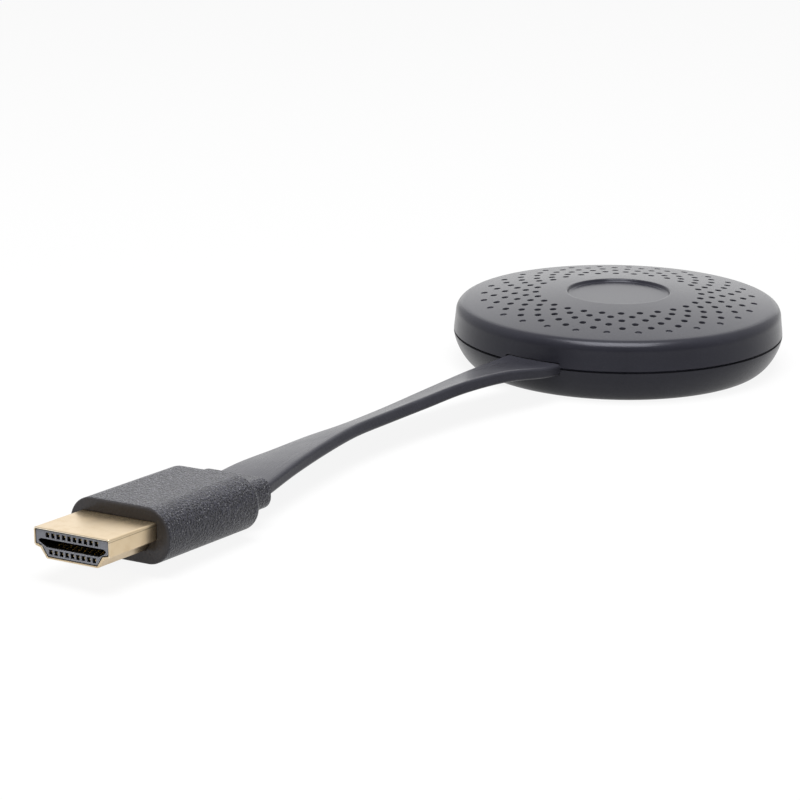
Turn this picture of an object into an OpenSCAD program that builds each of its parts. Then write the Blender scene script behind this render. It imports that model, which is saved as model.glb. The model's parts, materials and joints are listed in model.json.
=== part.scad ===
// Screen mirroring dongle: a round domed case, a flat captive cable and a type A video plug.
// Origin: centre of the case's flat base. +Z is up and the cable leaves along -Y. Millimetres.

/* [Case] */
// Diameter of the case at its waist
case_d = 59.6; // [56:0.2:70]
// Height of the parting seam above the base
seam_z = 5.8; // [5.2:0.1:6.6]
// Height of the crown's centre above the seam
crown_h = 7.5; // [7:0.1:10]
// How far the lower side runs in, from the waist to the flat that the case rests on
bevel_w = 3.8; // [2:0.1:5]
// How far the upper side wall leans in between seam and shoulder
side_lean = 0.35; // [0:0.05:0.8]
// Radius of the rounded shoulder between side and crown
shoulder_r = 2; // [1.8:0.1:3]
// Spherical radius of the crowned top
crown_r = 188; // [150:2:260]
// Wall thickness of both covers
wall = 1.6; // [1.2:0.1:1.8]
// Width of the V groove along the seam
seam_groove = 0.22; // [0.1:0.02:0.4]

/* [Top Recess] */
// Diameter of the round recess in the middle of the crown
recess_d = 18.9; // [12:0.1:24]
// Depth of the recess
recess_depth = 0.8; // [0.4:0.1:1]
// How much wider the recess is at its rim than at its floor, on the radius
recess_flare = 0.4; // [0.2:0.1:1]

/* [Vents] */
// Number of rings in the vent pattern, the outermost being blind dimples
vent_rings = 6; // [2:1:6]
// Holes in each ring
vent_count = 28; // [20:1:30]
// Radius of the innermost ring
vent_first_r = 15; // [13.5:0.1:15.5]
// Radial distance from one ring to the next
vent_pitch = 1.9; // [1.6:0.05:2]
// Diameter of a vent hole
vent_d = 1.1; // [0.8:0.05:1.3]
// Depth of the blind dimples in the outermost ring
dimple_depth = 0.15; // [0.1:0.05:0.8]

/* [Snap Joint] */
// Height of the lower cover's inner lip above the seam
lip_h = 1.4; // [1:0.1:1.8]
// Thickness of the lip
lip_t = 0.9; // [0.7:0.05:1]
// Radial clearance between lip and upper cover
lip_gap = 0.1; // [0.05:0.01:0.2]
// How far a snap bead stands out of the lip
bead_reach = 0.22; // [0.15:0.01:0.3]
// Number of snap beads round the lip
bead_count = 6; // [4:1:8]

/* [Circuit Board] */
// Thickness of the circuit board
board_t = 1; // [0.8:0.1:1.2]
// Clearance from the board's edge to the lip
board_gap = 0.8; // [0.6:0.1:1.2]
// Height of the seam above the board's top face
seam_over_board = 1.2; // [1:0.1:1.4]
// Diameter of a screw boss
boss_d = 4.6; // [4:0.1:5]
// Distance from the board's edge in to the screws
screw_inset = 4.9; // [4:0.1:5.2]
// Diameter of the screw's shank
screw_d = 1.9; // [1.6:0.1:2.1]
// Diameter of the screw's pan head
screw_head_d = 3.6; // [3:0.1:3.8]
// Height of the screw's head
screw_head_h = 1.3; // [1:0.1:1.4]

/* [Processor And Cooling] */
// Side of the square processor package
processor_w = 14; // [11:0.5:14]
// Height of the processor package
processor_h = 1.2; // [1.1:0.1:1.4]
// Thickness of the thermal pad on the processor
pad_t = 0.8; // [0.7:0.1:1.2]
// Diameter of the heat spreader plate without its ears
plate_d = 29; // [26:0.5:30]
// Thickness of the heat spreader plate
plate_t = 1; // [0.8:0.1:1.4]

/* [Chips] */
// Width of a memory chip, across the board
memory_w = 7.5; // [7:0.1:8]
// Length of a memory chip
memory_l = 9; // [8:0.1:9]
// Height of a memory chip
memory_h = 1; // [0.8:0.1:1.2]
// Width and length of the wireless module's square board
module_w = 10; // [9:0.1:10.4]
// Height of the wireless module's shield can
shield_h = 1.1; // [0.9:0.1:1.1]
// Side of a power inductor
inductor_w = 4; // [3:0.1:4]
// Height of a power inductor
inductor_h = 1.7; // [1.2:0.1:1.7]

/* [Power Socket] */
// Outer width of the power socket's shell
socket_w = 7.5; // [7:0.1:8]
// Outer height of the power socket's shell
socket_h = 2.5; // [2.4:0.1:2.8]
// Depth of the power socket from mouth to back
socket_l = 5.7; // [5:0.1:6]
// Sheet thickness of the power socket's shell
socket_t = 0.3; // [0.2:0.05:0.35]
// How far the socket's mouth lies inside the case's waist
socket_inset = 0.5; // [0.3:0.1:1]

/* [Mode Button] */
// Direction of the button round the case, in degrees from +X
button_angle = 114; // [112:1:118]
// Diameter of the button
button_d = 3.2; // [2.6:0.1:3.4]
// How far the button stands out of the waist
button_reach = 0.4; // [0.36:0.02:0.6]
// Travel of the button
button_travel = 0.35; // [0.2:0.05:0.35]
// Clearance round the button in its hole
button_gap = 0.15; // [0.1:0.01:0.25]
// Width of the side switch's body
switch_w = 4.5; // [4:0.1:4.6]
// Length of the side switch's body, along its plunger
switch_l = 3.5; // [3:0.1:3.6]
// Diameter of the switch's plunger
plunger_d = 1.5; // [1.2:0.1:1.6]

/* [Flat Cable] */
// Width of the flat cable
cable_w = 11; // [10:0.1:11.4]
// Thickness of the flat cable
cable_t = 2; // [1.8:0.1:2.2]
// Corner radius of the cable's section
cable_corner_r = 0.6; // [0.4:0.05:0.8]
// Clearance round the cable in its slot
slot_gap = 0.3; // [0.2:0.05:0.4]
// Conductors in the cable
wire_count = 19; // [15:1:19]
// Thickness of one insulated conductor
wire_t = 0.4; // [0.3:0.02:0.45]
// Width of the moulded anchor on the cable's end
anchor_w = 14.4; // [13.6:0.1:14.6]
// Height of the anchor
anchor_h = 4.8; // [4.4:0.1:5]
// Length of the anchor along the cable
anchor_l = 4.4; // [4:0.1:4.6]

/* [Plug Shell] */
// Outer width of the plug's metal shell
shell_w = 13.9; // [13.8:0.05:14]
// Outer height of the shell
shell_h = 4.45; // [4.4:0.05:4.5]
// Width of the shell's narrower bottom
shell_foot_w = 9.4; // [9:0.1:9.8]
// Height of the shell's straight sides
shell_side_h = 2.7; // [2.5:0.1:2.9]
// How far the small step under the sides goes in
shell_step = 1.1; // [0.9:0.1:1.3]
// Sheet thickness of the shell
shell_t = 0.25; // [0.25:0.05:0.35]
// How far the shell stands out of the overmould
shell_reach = 10.4; // [10:0.1:12]
// How deep the shell sits in the overmould
shell_seat = 5.6; // [5:0.1:6]
// How far the insulator lies behind the shell's front edge
insulator_inset = 0.1; // [0.1:0.05:0.4]
// Open gap round the insulator's nose, inside the shell
nose_gap = 0.12; // [0.06:0.02:0.16]
// Pitch of the contacts in each row
contact_pitch = 1; // [0.98:0.01:1.02]
// Width of one contact
contact_w = 0.4; // [0.3:0.02:0.45]
// Thickness of one contact
contact_t = 0.25; // [0.2:0.01:0.3]

/* [Overmould] */
// Width of the overmould
mould_w = 18.3; // [18.2:0.1:20]
// Height of the overmould
mould_h = 8.5; // [8.4:0.1:10]
// Length of the overmould's main block
mould_l = 22; // [21.6:0.1:26]
// Corner radius of the overmould's section
mould_corner_r = 4; // [3:0.1:4.2]
// Radius that rounds the rear edge of the main block
mould_rear_r = 0.9; // [0.8:0.1:2]
// Width of the cable collar behind the main block
collar_w = 13.5; // [13.2:0.1:16]
// Height of the cable collar
collar_h = 4.9; // [4.8:0.1:6.4]
// Length of the cable collar
collar_l = 5.9; // [5:0.1:7]

/* [Plug Position] */
// Sideways place of the overmould's front face
plug_x = -1.3; // [-8:0.1:0]
// Place of the overmould's front face along the cable's direction
plug_y = -139.3; // [-142:0.1:-134]
// Turn of the plug about the vertical, in degrees
plug_turn = 0.6; // [-1:0.1:3]
// How far the stiff cable lifts the plug's tip, in degrees
plug_pitch = 1.9; // [0:0.1:2.5]
// How far the cable's twist raises the plug's right side, in degrees
plug_roll = 2.5; // [0:0.1:3]
// How far the stiff cable holds the plug's lowest edge off the surface
plug_rise = 0.6; // [0.4:0.1:0.8]

/* [Hidden] */

// Overrun of every cut past the surface that it opens
over = 0.5;
// Clearance between parts that are assembled without play
fit_gap = 0.03;
// Counts of steps in arcs and round cuts
arc_steps = 6;
crown_steps = 8;
round_sides = 48;

// Case outline
case_r = case_d / 2;
case_h = seam_z + crown_h;
base_r = case_r - bevel_w;
side_r = case_r - side_lean;
crown_centre_z = case_h - crown_r;
shoulder_x = side_r - shoulder_r;
shoulder_z = crown_centre_z + sqrt(pow(crown_r - shoulder_r, 2) - pow(shoulder_x, 2));
shoulder_angle = atan2(shoulder_z - crown_centre_z, shoulder_x);
// Exponent of the lower side's curve: 1 is a straight bevel and 2 a quarter ellipse
bevel_share = 1.5;
recess_floor_z = case_h - recess_depth;
recess_pad_r = recess_d / 2 + wall;
vent_depth = 2 * wall;

// Lip and snap beads
lip_out_r = side_r - wall - lip_gap;
lip_in_r = lip_out_r - lip_t;
lip_root_h = 1.5 * lip_h;
bead_h = lip_h / 2;
bead_z = seam_z + lip_h - bead_h;
bead_angle = 18;
bead_groove_gap = 0.08;
bead_groove_r = lip_out_r + bead_reach + bead_groove_gap;

// Board, bosses and screws
floor_z = wall;
board_top = seam_z - seam_over_board;
board_z = board_top - board_t;
boss_h = board_z - floor_z;
board_r = lip_in_r - board_gap;
screw_r = board_r - screw_inset;
screw_angles = [52, 137, 232, 308];
screw_gap = 0.05;
screw_hole_d = screw_d + 2 * screw_gap;
screw_end_gap = 0.4;
screw_socket_d = 0.45 * screw_head_d;
screw_socket_depth = 0.55 * screw_head_h;

// Heat spreader
plate_z = board_top + processor_h + pad_t;
plate_ear_w = 5;
plate_leg_d = boss_d;
plate_hole_d = 2;
plate_hole_rings = [6, 10.5];
plate_hole_counts = [8, 14];

// Chips and small parts
chip_gap = 0.8;
pad_margin = 1;
memory_x = processor_w / 2 + chip_gap + memory_w / 2;
memory_y = memory_l / 2 + chip_gap / 2;
flash_w = 6;
flash_l = 8;
flash_h = 0.8;
power_chip_w = 5;
power_chip_h = 0.9;
flash_x = -processor_w / 2 - chip_gap - flash_w / 2;
flash_y = flash_l / 2 + chip_gap / 2;
power_chip_y = -power_chip_w / 2 - chip_gap / 2;
inductor_x = flash_x - flash_w / 2 - chip_gap - inductor_w / 2;
inductor_count = 3;
inductor_pitch = inductor_w + chip_gap;
winding_inset = 0.4;
module_x = 1;
module_y = processor_w / 2 + chip_gap + module_w / 2;
module_t = 0.6;
shield_inset = 0.5;
crystal_l = 3.2;
crystal_w = 2.5;
crystal_h = 0.7;
crystal_x = memory_x + memory_w / 2 + chip_gap + crystal_w / 2;
small_l = 1;
small_w = 0.5;
small_h = 0.5;
small_pitch = 2 * small_l;
capacitor_count = 7;
capacitor_y = -processor_w / 2 - chip_gap;
resistor_count = 7;
resistor_y = capacitor_y - small_l - chip_gap;
resistor_h = 0.35;
led_l = 1.6;
led_w = 0.8;
led_h = 0.6;

// Power socket on the rear edge
socket_mouth_y = case_r - socket_inset;
socket_back_y = socket_mouth_y - socket_l;
socket_z = board_top + socket_h / 2;
socket_foot_w = 0.72 * socket_w;
socket_bevel_h = 0.4 * socket_h;
socket_open_gap = 0.2;
tongue_w = 3.6;
tongue_t = 0.6;
tongue_inset = 0.9;
socket_pins = 5;
socket_pin_pitch = 0.65;
socket_pin_w = 0.3;
socket_pin_t = 0.15;
led_x = socket_w / 2 + 2 * chip_gap + led_l / 2;
led_y = socket_back_y + led_w / 2;

// Mode button and side switch, along a radius of the case
button_r = button_d / 2;
button_face_r = case_r + button_reach;
button_flange_r = button_r + 0.7 * lip_t;
button_flange_t = 0.7;
button_flange_gap = 0.25;
button_back_r = sqrt(pow(lip_in_r, 2) - pow(button_flange_r, 2)) - button_flange_gap;
button_dome = button_reach / 2;
switch_h = 2 * (seam_z - board_top);
switch_front_r = button_back_r - button_flange_t - 2 * button_travel - plunger_d / 4;
board_notch_r = button_back_r - button_flange_t - button_travel - button_flange_gap;
board_notch_w = 2 * (button_flange_r + button_flange_gap);
plunger_seat = 3 * button_travel;
plunger_gap = 0.06;

// Cable's entry into the case
slot_w = cable_w + 2 * slot_gap;
slot_h = cable_t + 2 * slot_gap;
cable_z = seam_z;
anchor_gap = 0.5;
anchor_front_y = -(sqrt(pow(lip_in_r, 2) - pow(anchor_w / 2, 2)) - anchor_gap);
anchor_back_y = anchor_front_y + anchor_l;
board_chord_y = anchor_back_y + anchor_gap;
cheek_t = 1.4;
cheek_r = lip_in_r - anchor_gap / 2;
press_rib_t = 1.2;
wire_pitch = cable_w / (wire_count + 1);
wire_run = 2.8;
wire_end_y = board_chord_y + wire_run;
solder_l = 1.3;
solder_w = 0.85 * wire_pitch;

// Antenna on the inner face of the lip
antenna_t = 0.2;
antenna_h = 2;
antenna_start = -42;
antenna_sweep = 70;
antenna_out_r = lip_in_r - fit_gap;
antenna_z = board_top + chip_gap / 4;
lead_d = 0.8;
connector_w = 2.6;
connector_d = 2;
connector_h = 1.2;
connector_foot_h = 0.4;
connector_x = module_x + module_w / 2 + chip_gap + connector_w / 2;
connector_y = module_y + module_w / 2 - connector_w / 2;

// Free stretch of the cable: [x, y, z, twist in degrees], after the first and before the last
cable_lead_in = 5;
cable_route = [
  [-2.4, -40, 5.75, 12],
  [-4.5, -50, 5.1, 19.5],
  [-5.9, -60, 4.3, 22],
  [-6.6, -70, 4, 22.5],
  [-6.5, -80, 4.25, 20.5],
  [-5.4, -90, 4.5, 16],
  [-3.7, -101, 4.8, 8.5]
];
cable_rings_per_leg = 2;
cable_corner_steps = 2;

// Plug, in its own frame: overmould's front face at y = 0, tip towards -Y
plug_z = mould_h / 2 + (mould_l - mould_rear_r) * sin(plug_pitch)
  + (mould_w / 2 - mould_corner_r) * sin(plug_roll) + plug_rise;
mould_back_y = mould_l + collar_l;
shell_back_y = shell_seat;
shell_step_r = 0.25;
shell_step_h = shell_t;
insulator_front_y = -shell_reach + insulator_inset;
insulator_back_y = shell_seat - shell_t;
mating_depth = 8.2;
mating_w = 12.5;
mating_top_w = 11.6;
mating_waist_w = 12;
mating_foot_w = 9.6;
mating_top_z = 0.65;
mating_side_z = 0.35;
mating_foot_z = -0.62;
upper_count = 10;
lower_count = 9;
pocket_w = 0.68;
pocket_outer_z = 1.62;
pocket_inner_z = 0.86;
window_t = 0.7;
nose_l = 0.5;
beam_rest_z = 1.3;
beam_touch_z = 0.55;
tail_l = 3;
tail_end_y = insulator_back_y + tail_l;
shield_t = 0.25;
shield_front_wall = 1.25;
shield_front_y = shield_front_wall;
shield_rear_wall = 3;
shield_back_y = mould_l - shield_rear_wall;
ferrule_t = 0.3;
ferrule_l = 3.2;
block_front_y = tail_end_y + fit_gap;
block_back_y = shield_back_y - shield_t - fit_gap;
channel_h = 0.55 * shell_h;
plug_wire_d = 0.8;
cable_end_y = shield_back_y - shield_t - 2 * plug_wire_d;
mould_front_r = 0.3;

// Plain vector and outline helpers
function unit(v) = v / norm(v);
function turned(v, a) = [v[0] * cos(a) - v[1] * sin(a), v[0] * sin(a) + v[1] * cos(a)];
function sign_of(v) = v < 0 ? -1 : 1;
function corner_arc(a, b, c, r, n) =
  let (u = unit(a - b), v = unit(c - b), half = acos(u * v) / 2,
       mid = b + unit(u + v) * r / sin(half), start = b + u * r / tan(half) - mid,
       end = b + v * r / tan(half) - mid, sweep = sign_of(cross(start, end)) * (180 - 2 * half))
  [for (i = [0:n]) mid + turned(start, sweep * i / n)];
function rounded(p, r, n) =
  [for (i = [0:len(p) - 1]) each corner_arc(p[(i + len(p) - 1) % len(p)], p[i], p[(i + 1) % len(p)], r, n)];
function with_mirror(half) =
  concat(half, [for (i = [len(half) - 1:-1:0]) [-half[i][0], half[i][1]]]);
function reversed(p) = [for (i = [len(p) - 1:-1:0]) p[i]];
function box_outline(w, h) = [[w / 2, h / 2], [-w / 2, h / 2], [-w / 2, -h / 2], [w / 2, -h / 2]];
function band_of(p, t) = concat([for (q = p) q + [0, t / 2]], [for (q = reversed(p)) q - [0, t / 2]]);
function row(count, pitch) = [for (i = [0:count - 1]) (i - (count - 1) / 2) * pitch];

// Box given by its size and the middle of its bottom face
module block(w, l, h, at) {
  translate([at[0] - w / 2, at[1] - l / 2, at[2]]) cube([w, l, h]);
}

// Solid that follows the Y axis between two places, from an outline in X and Z
module along_y(outline, y0, y1) {
  translate([0, y1, 0]) rotate([90, 0, 0]) linear_extrude(height = y1 - y0) polygon(outline);
}

// Solid of one width in X, from an outline in Y and Z
module across_x(outline, x, w) {
  translate([x - w / 2, 0, 0]) rotate([90, 0, 90]) linear_extrude(height = w) polygon(outline);
}

// Cylinder along a radius of the case at the button's direction and height
module along_button(r0, r1, d) {
  rotate([0, 0, button_angle]) translate([r0, 0, seam_z]) rotate([0, 90, 0])
    cylinder(h = r1 - r0, d = d, $fn = round_sides);
}

// Places the plug's own frame on the object
module at_plug() {
  translate([plug_x, plug_y, plug_z]) rotate([-plug_pitch, -plug_roll, plug_turn]) children();
}

// Case profiles, moved in by w, from the seam to the axis
function top_outline(w) = concat(
  [for (i = [0:arc_steps]) let (a = shoulder_angle * i / arc_steps)
    [shoulder_x + (shoulder_r - w) * cos(a), shoulder_z + (shoulder_r - w) * sin(a)]],
  [for (i = [1:crown_steps]) let (a = shoulder_angle + (90 - shoulder_angle) * i / crown_steps)
    [(crown_r - w) * cos(a), crown_centre_z + (crown_r - w) * sin(a)]]);
function bottom_outline(w) =
  [for (i = [0:crown_steps]) let (a = 90 * i / crown_steps)
    [base_r - w + (case_r - base_r) * pow(cos(a), 2 / bevel_share),
     w + (seam_z - w) * (1 - pow(sin(a), 2 / bevel_share))]];

// Openings that both covers share: cable slot, power socket and button
module case_openings() {
  translate([0, anchor_front_y, cable_z])
    along_y(rounded(box_outline(slot_w, slot_h), cable_corner_r, arc_steps), -case_r, 0);
  block(socket_w + 2 * socket_open_gap, case_r, socket_h + 2 * socket_open_gap,
    [0, socket_back_y - socket_open_gap + case_r / 2, board_top - socket_open_gap]);
  along_button(button_back_r, case_r + over, button_d + 2 * button_gap);
}

module vent_pattern() {
  for (ring = [0:vent_rings - 1]) {
    depth = ring == vent_rings - 1 ? dimple_depth : vent_depth;
    ring_r = vent_first_r + ring * vent_pitch;
    surface_z = crown_centre_z + sqrt(pow(crown_r, 2) - pow(ring_r, 2));
    shift_share = ring % 2 == 0 ? 0.5 : 0;
    for (i = [0:vent_count - 1])
      rotate([0, 0, -90 + (i + shift_share) * 360 / vent_count])
        translate([ring_r, 0, surface_z - depth])
          cylinder(h = depth + over, d = vent_d, $fn = 16);
  }
}

module top_cover() {
  color([0.17, 0.17, 0.19]) difference() {
    union() {
      rotate_extrude($fn = round_sides) polygon(concat(
        [[case_r - seam_groove, seam_z], [case_r, seam_z + seam_groove]],
        top_outline(0), reversed(top_outline(wall)), [[side_r - wall, seam_z]]));
      translate([0, 0, recess_floor_z - wall])
        cylinder(h = wall, r = recess_pad_r, $fn = round_sides);
      press_rib();
    }
    translate([0, 0, recess_floor_z])
      cylinder(h = recess_depth + over, r1 = recess_d / 2 - recess_flare,
        r2 = recess_d / 2 + recess_flare * over / recess_depth, $fn = round_sides);
    vent_pattern();
    rotate_extrude($fn = round_sides) polygon([
      [lip_in_r, bead_z - bead_groove_gap], [bead_groove_r, bead_z - bead_groove_gap],
      [bead_groove_r, bead_z + bead_h], [lip_in_r, bead_z + bead_h]]);
    case_openings();
  }
}

// Rib that holds the cable's anchor down
module press_rib() {
  rib_top = crown_centre_z + sqrt(pow(crown_r - wall, 2) - pow(anchor_front_y, 2));
  rib_z = cable_z + anchor_h / 2 + fit_gap;
  for (y = [anchor_front_y + press_rib_t, anchor_back_y - press_rib_t])
    block(anchor_w / 2, press_rib_t, rib_top - rib_z + wall / 2, [0, y, rib_z]);
}

module bottom_cover() {
  color([0.15, 0.15, 0.17]) difference() {
    union() {
      rotate_extrude($fn = round_sides) polygon(concat(
        [[0, 0]], reversed(bottom_outline(0)),
        [[case_r - seam_groove, seam_z], [lip_out_r, seam_z], [lip_out_r, seam_z + lip_h],
         [lip_in_r, seam_z + lip_h], [lip_in_r, seam_z - lip_root_h]],
        [for (p = bottom_outline(wall)) if (p[1] < seam_z - lip_root_h && p[0] < lip_in_r) p],
        [[0, floor_z]]));
      for (i = [0:bead_count - 1])
        rotate([0, 0, (i + 0.25) * 360 / bead_count]) rotate_extrude(angle = bead_angle, $fn = round_sides)
          polygon([[lip_out_r - lip_t / 2, bead_z], [lip_out_r, bead_z],
            [lip_out_r + bead_reach, bead_z + bead_h / 2], [lip_out_r, bead_z + bead_h - fit_gap],
            [lip_out_r - lip_t / 2, bead_z + bead_h - fit_gap]]);
      for (a = screw_angles)
        rotate([0, 0, a]) translate([screw_r, 0, floor_z])
          cylinder(h = boss_h, d = boss_d, $fn = round_sides);
      anchor_saddle();
    }
    for (a = screw_angles)
      rotate([0, 0, a]) translate([screw_r, 0, floor_z])
        cylinder(h = boss_h + over, d = screw_hole_d, $fn = round_sides);
    case_openings();
  }
}

// Pocket in the lower cover that the cable's anchor sits in
module anchor_saddle() {
  saddle_top = cable_z - anchor_h / 2;
  intersection() {
    union() {
      block(anchor_w + 2 * cheek_t, anchor_l, saddle_top - floor_z,
        [0, (anchor_front_y + anchor_back_y) / 2, floor_z]);
      for (side = [-1, 1])
        block(cheek_t - fit_gap, anchor_l, saddle_top - floor_z + anchor_h / 2,
          [side * (anchor_w + cheek_t + fit_gap) / 2, (anchor_front_y + anchor_back_y) / 2, floor_z]);
    }
    cylinder(h = case_h, r = cheek_r, $fn = round_sides);
  }
}

module main_board() {
  color([0.05, 0.3, 0.16]) difference() {
    translate([0, 0, board_z]) cylinder(h = board_t, r = board_r, $fn = round_sides);
    block(2 * board_r, board_r, board_t + 2 * over, [0, board_chord_y - board_r / 2, board_z - over]);
    for (a = screw_angles)
      rotate([0, 0, a]) translate([screw_r, 0, board_z - over])
        cylinder(h = board_t + 2 * over, d = screw_hole_d + screw_gap, $fn = round_sides);
    rotate([0, 0, button_angle]) translate([board_notch_r, -board_notch_w / 2, board_z - over])
      cube([board_r, board_notch_w, board_t + 2 * over]);
  }
}

module heat_spreader() {
  color([0.78, 0.79, 0.8]) difference() {
    union() {
      translate([0, 0, plate_z]) cylinder(h = plate_t, d = plate_d, $fn = round_sides);
      for (a = screw_angles) rotate([0, 0, a]) {
        translate([0, -plate_ear_w / 2, plate_z]) cube([screw_r, plate_ear_w, plate_t]);
        translate([screw_r, 0, plate_z]) cylinder(h = plate_t, d = plate_ear_w, $fn = round_sides);
        translate([screw_r, 0, board_top])
          cylinder(h = plate_z - board_top, d = plate_leg_d, $fn = round_sides);
      }
    }
    for (a = screw_angles)
      rotate([0, 0, a]) translate([screw_r, 0, board_top - over])
        cylinder(h = plate_z - board_top + plate_t + 2 * over, d = screw_hole_d + screw_gap,
          $fn = round_sides);
    for (k = [0:len(plate_hole_rings) - 1])
      for (i = [0:plate_hole_counts[k] - 1])
        rotate([0, 0, i * 360 / plate_hole_counts[k]]) translate([plate_hole_rings[k], 0, plate_z - over])
          cylinder(h = plate_t + 2 * over, d = plate_hole_d, $fn = 24);
  }
}

module plate_screws() {
  screw_end_z = floor_z + screw_end_gap;
  head_z = plate_z + plate_t;
  color([0.7, 0.7, 0.72]) for (a = screw_angles)
    rotate([0, 0, a]) translate([screw_r, 0, 0]) difference() {
      union() {
        translate([0, 0, screw_end_z])
          cylinder(h = head_z - screw_end_z + screw_head_h / 2, d = screw_d, $fn = round_sides);
        translate([0, 0, head_z]) cylinder(h = screw_head_h, d = screw_head_d, $fn = round_sides);
      }
      translate([0, 0, head_z + screw_head_h - screw_socket_depth])
        cylinder(h = screw_socket_depth + over, d = screw_socket_d, $fn = 6);
    }
}

module thermal_pad() {
  side = processor_w - 2 * pad_margin;
  color([0.62, 0.66, 0.74]) block(side, side, pad_t, [0, 0, board_top + processor_h]);
}

module processor() {
  color([0.09, 0.09, 0.1]) block(processor_w, processor_w, processor_h, [0, 0, board_top]);
}

module memory_chips() {
  color([0.08, 0.08, 0.09]) for (side = [-1, 1])
    block(memory_w, memory_l, memory_h, [memory_x, side * memory_y, board_top]);
}

module flash_chip() {
  color([0.1, 0.1, 0.11]) block(flash_w, flash_l, flash_h, [flash_x, flash_y, board_top]);
}

module power_chip() {
  color([0.11, 0.11, 0.12])
    block(power_chip_w, power_chip_w, power_chip_h, [flash_x, power_chip_y, board_top]);
}

module wireless_board() {
  color([0.1, 0.12, 0.35]) block(module_w, module_w, module_t, [module_x, module_y, board_top]);
}

module wireless_shield() {
  side = module_w - 2 * shield_inset;
  color([0.75, 0.76, 0.78]) difference() {
    block(side, side, shield_h, [module_x, module_y, board_top + module_t]);
    block(side - 2 * shield_t, side - 2 * shield_t, shield_h,
      [module_x, module_y, board_top + module_t - shield_t]);
  }
}

module crystals() {
  color([0.8, 0.8, 0.82]) for (side = [-1, 1])
    block(crystal_w, crystal_l, crystal_h, [crystal_x, side * crystal_l, board_top]);
}

module inductors() {
  color([0.3, 0.3, 0.32]) for (y = row(inductor_count, inductor_pitch))
    translate([inductor_x, y, board_top]) {
      block(inductor_w, inductor_w, inductor_h - winding_inset, [0, 0, 0]);
      cylinder(h = inductor_h, d = inductor_w - 2 * winding_inset, $fn = round_sides);
    }
}

module capacitors() {
  color([0.72, 0.6, 0.45]) for (x = row(capacitor_count, small_pitch))
    block(small_w, small_l, small_h, [x, capacitor_y, board_top]);
}

module resistors() {
  color([0.14, 0.14, 0.16]) for (x = row(resistor_count, small_pitch))
    block(small_w, small_l, resistor_h, [x, resistor_y, board_top]);
}

module status_led() {
  color([0.9, 0.93, 0.95]) block(led_l, led_w, led_h, [led_x, led_y, board_top]);
}

module antenna_strip() {
  color([0.75, 0.5, 0.25]) translate([0, 0, antenna_z]) rotate([0, 0, antenna_start])
    rotate_extrude(angle = antenna_sweep, $fn = round_sides)
      translate([antenna_out_r - antenna_t, 0]) square([antenna_t, antenna_h]);
}

// Thin lead from the antenna's end to its connector, over the board and between memory and screw
module antenna_lead() {
  end_angle = antenna_start + antenna_sweep - 2;
  start_r = antenna_out_r - antenna_t - fit_gap - lead_d / 2;
  lead_z = board_top + connector_foot_h + lead_d / 2 + fit_gap;
  start_x = start_r * cos(end_angle);
  lane_x = screw_r * cos(screw_angles[0]);
  lane_y = (memory_y + memory_l / 2 + screw_r * sin(screw_angles[0]) - boss_d / 2) / 2;
  lead_route = [
    [start_x, start_r * sin(end_angle), lead_z],
    [start_x - 3 * lead_d, lane_y, lead_z],
    [lane_x, lane_y, lead_z],
    [connector_x + connector_w, lane_y, lead_z],
    [connector_x, connector_y - connector_w, lead_z],
    [connector_x, connector_y - connector_d / 2 - fit_gap, lead_z]
  ];
  color([0.12, 0.12, 0.13]) round_tube(smooth_route(lead_route, 2), lead_d, 8);
}

module antenna_connector() {
  color([0.83, 0.7, 0.4]) {
    block(connector_w, connector_w, connector_foot_h, [connector_x, connector_y, board_top]);
    translate([connector_x, connector_y, board_top])
      cylinder(h = connector_h, d = connector_d - 2 * fit_gap, $fn = 24);
  }
}

function socket_outline(inset) =
  let (w = socket_w / 2 - inset, top = socket_h / 2 - inset, foot = socket_foot_w / 2 - inset * 0.6)
  [[w, top], [-w, top], [-w, -top + socket_bevel_h], [-foot, -top], [foot, -top], [w, -top + socket_bevel_h]];

module socket_shell() {
  color([0.8, 0.8, 0.82]) translate([0, 0, socket_z]) difference() {
    along_y(socket_outline(0), socket_back_y, socket_mouth_y);
    along_y(socket_outline(socket_t), socket_back_y + socket_t, socket_mouth_y + over);
  }
}

module socket_tongue() {
  color([0.08, 0.08, 0.09]) translate([0, 0, socket_z]) {
    along_y(box_outline(tongue_w, tongue_t), socket_back_y + socket_t + tongue_inset - over,
      socket_mouth_y - tongue_inset);
    along_y(socket_outline(socket_t + fit_gap), socket_back_y + socket_t + fit_gap,
      socket_back_y + socket_t + tongue_inset);
  }
}

module socket_contacts() {
  color([0.85, 0.72, 0.42]) for (x = row(socket_pins, socket_pin_pitch))
    block(socket_pin_w, socket_l - 3 * tongue_inset, socket_pin_t,
      [x, (socket_back_y + socket_mouth_y) / 2 + socket_t, socket_z - tongue_t / 2 - socket_pin_t]);
}

module switch_body() {
  color([0.13, 0.13, 0.14]) difference() {
    rotate([0, 0, button_angle]) translate([switch_front_r - switch_l, -switch_w / 2, board_top])
      cube([switch_l, switch_w, switch_h]);
    along_button(switch_front_r - plunger_seat - button_travel, switch_front_r + over,
      plunger_d + 2 * plunger_gap);
  }
}

module switch_plunger() {
  color([0.85, 0.85, 0.83]) along_button(switch_front_r - plunger_seat + 2 * fit_gap,
    button_back_r - button_flange_t, plunger_d);
}

module mode_button() {
  color([0.2, 0.2, 0.22]) {
    along_button(button_back_r - button_flange_t, button_back_r, 2 * button_flange_r);
    along_button(button_back_r - button_flange_t / 2, button_face_r - button_dome, button_d);
    rotate([0, 0, button_angle]) translate([button_face_r - button_dome - fit_gap, 0, seam_z])
      rotate([0, 90, 0]) cylinder(h = button_dome + fit_gap, r1 = button_r, r2 = button_r - button_dome,
        $fn = round_sides);
  }
}

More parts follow.
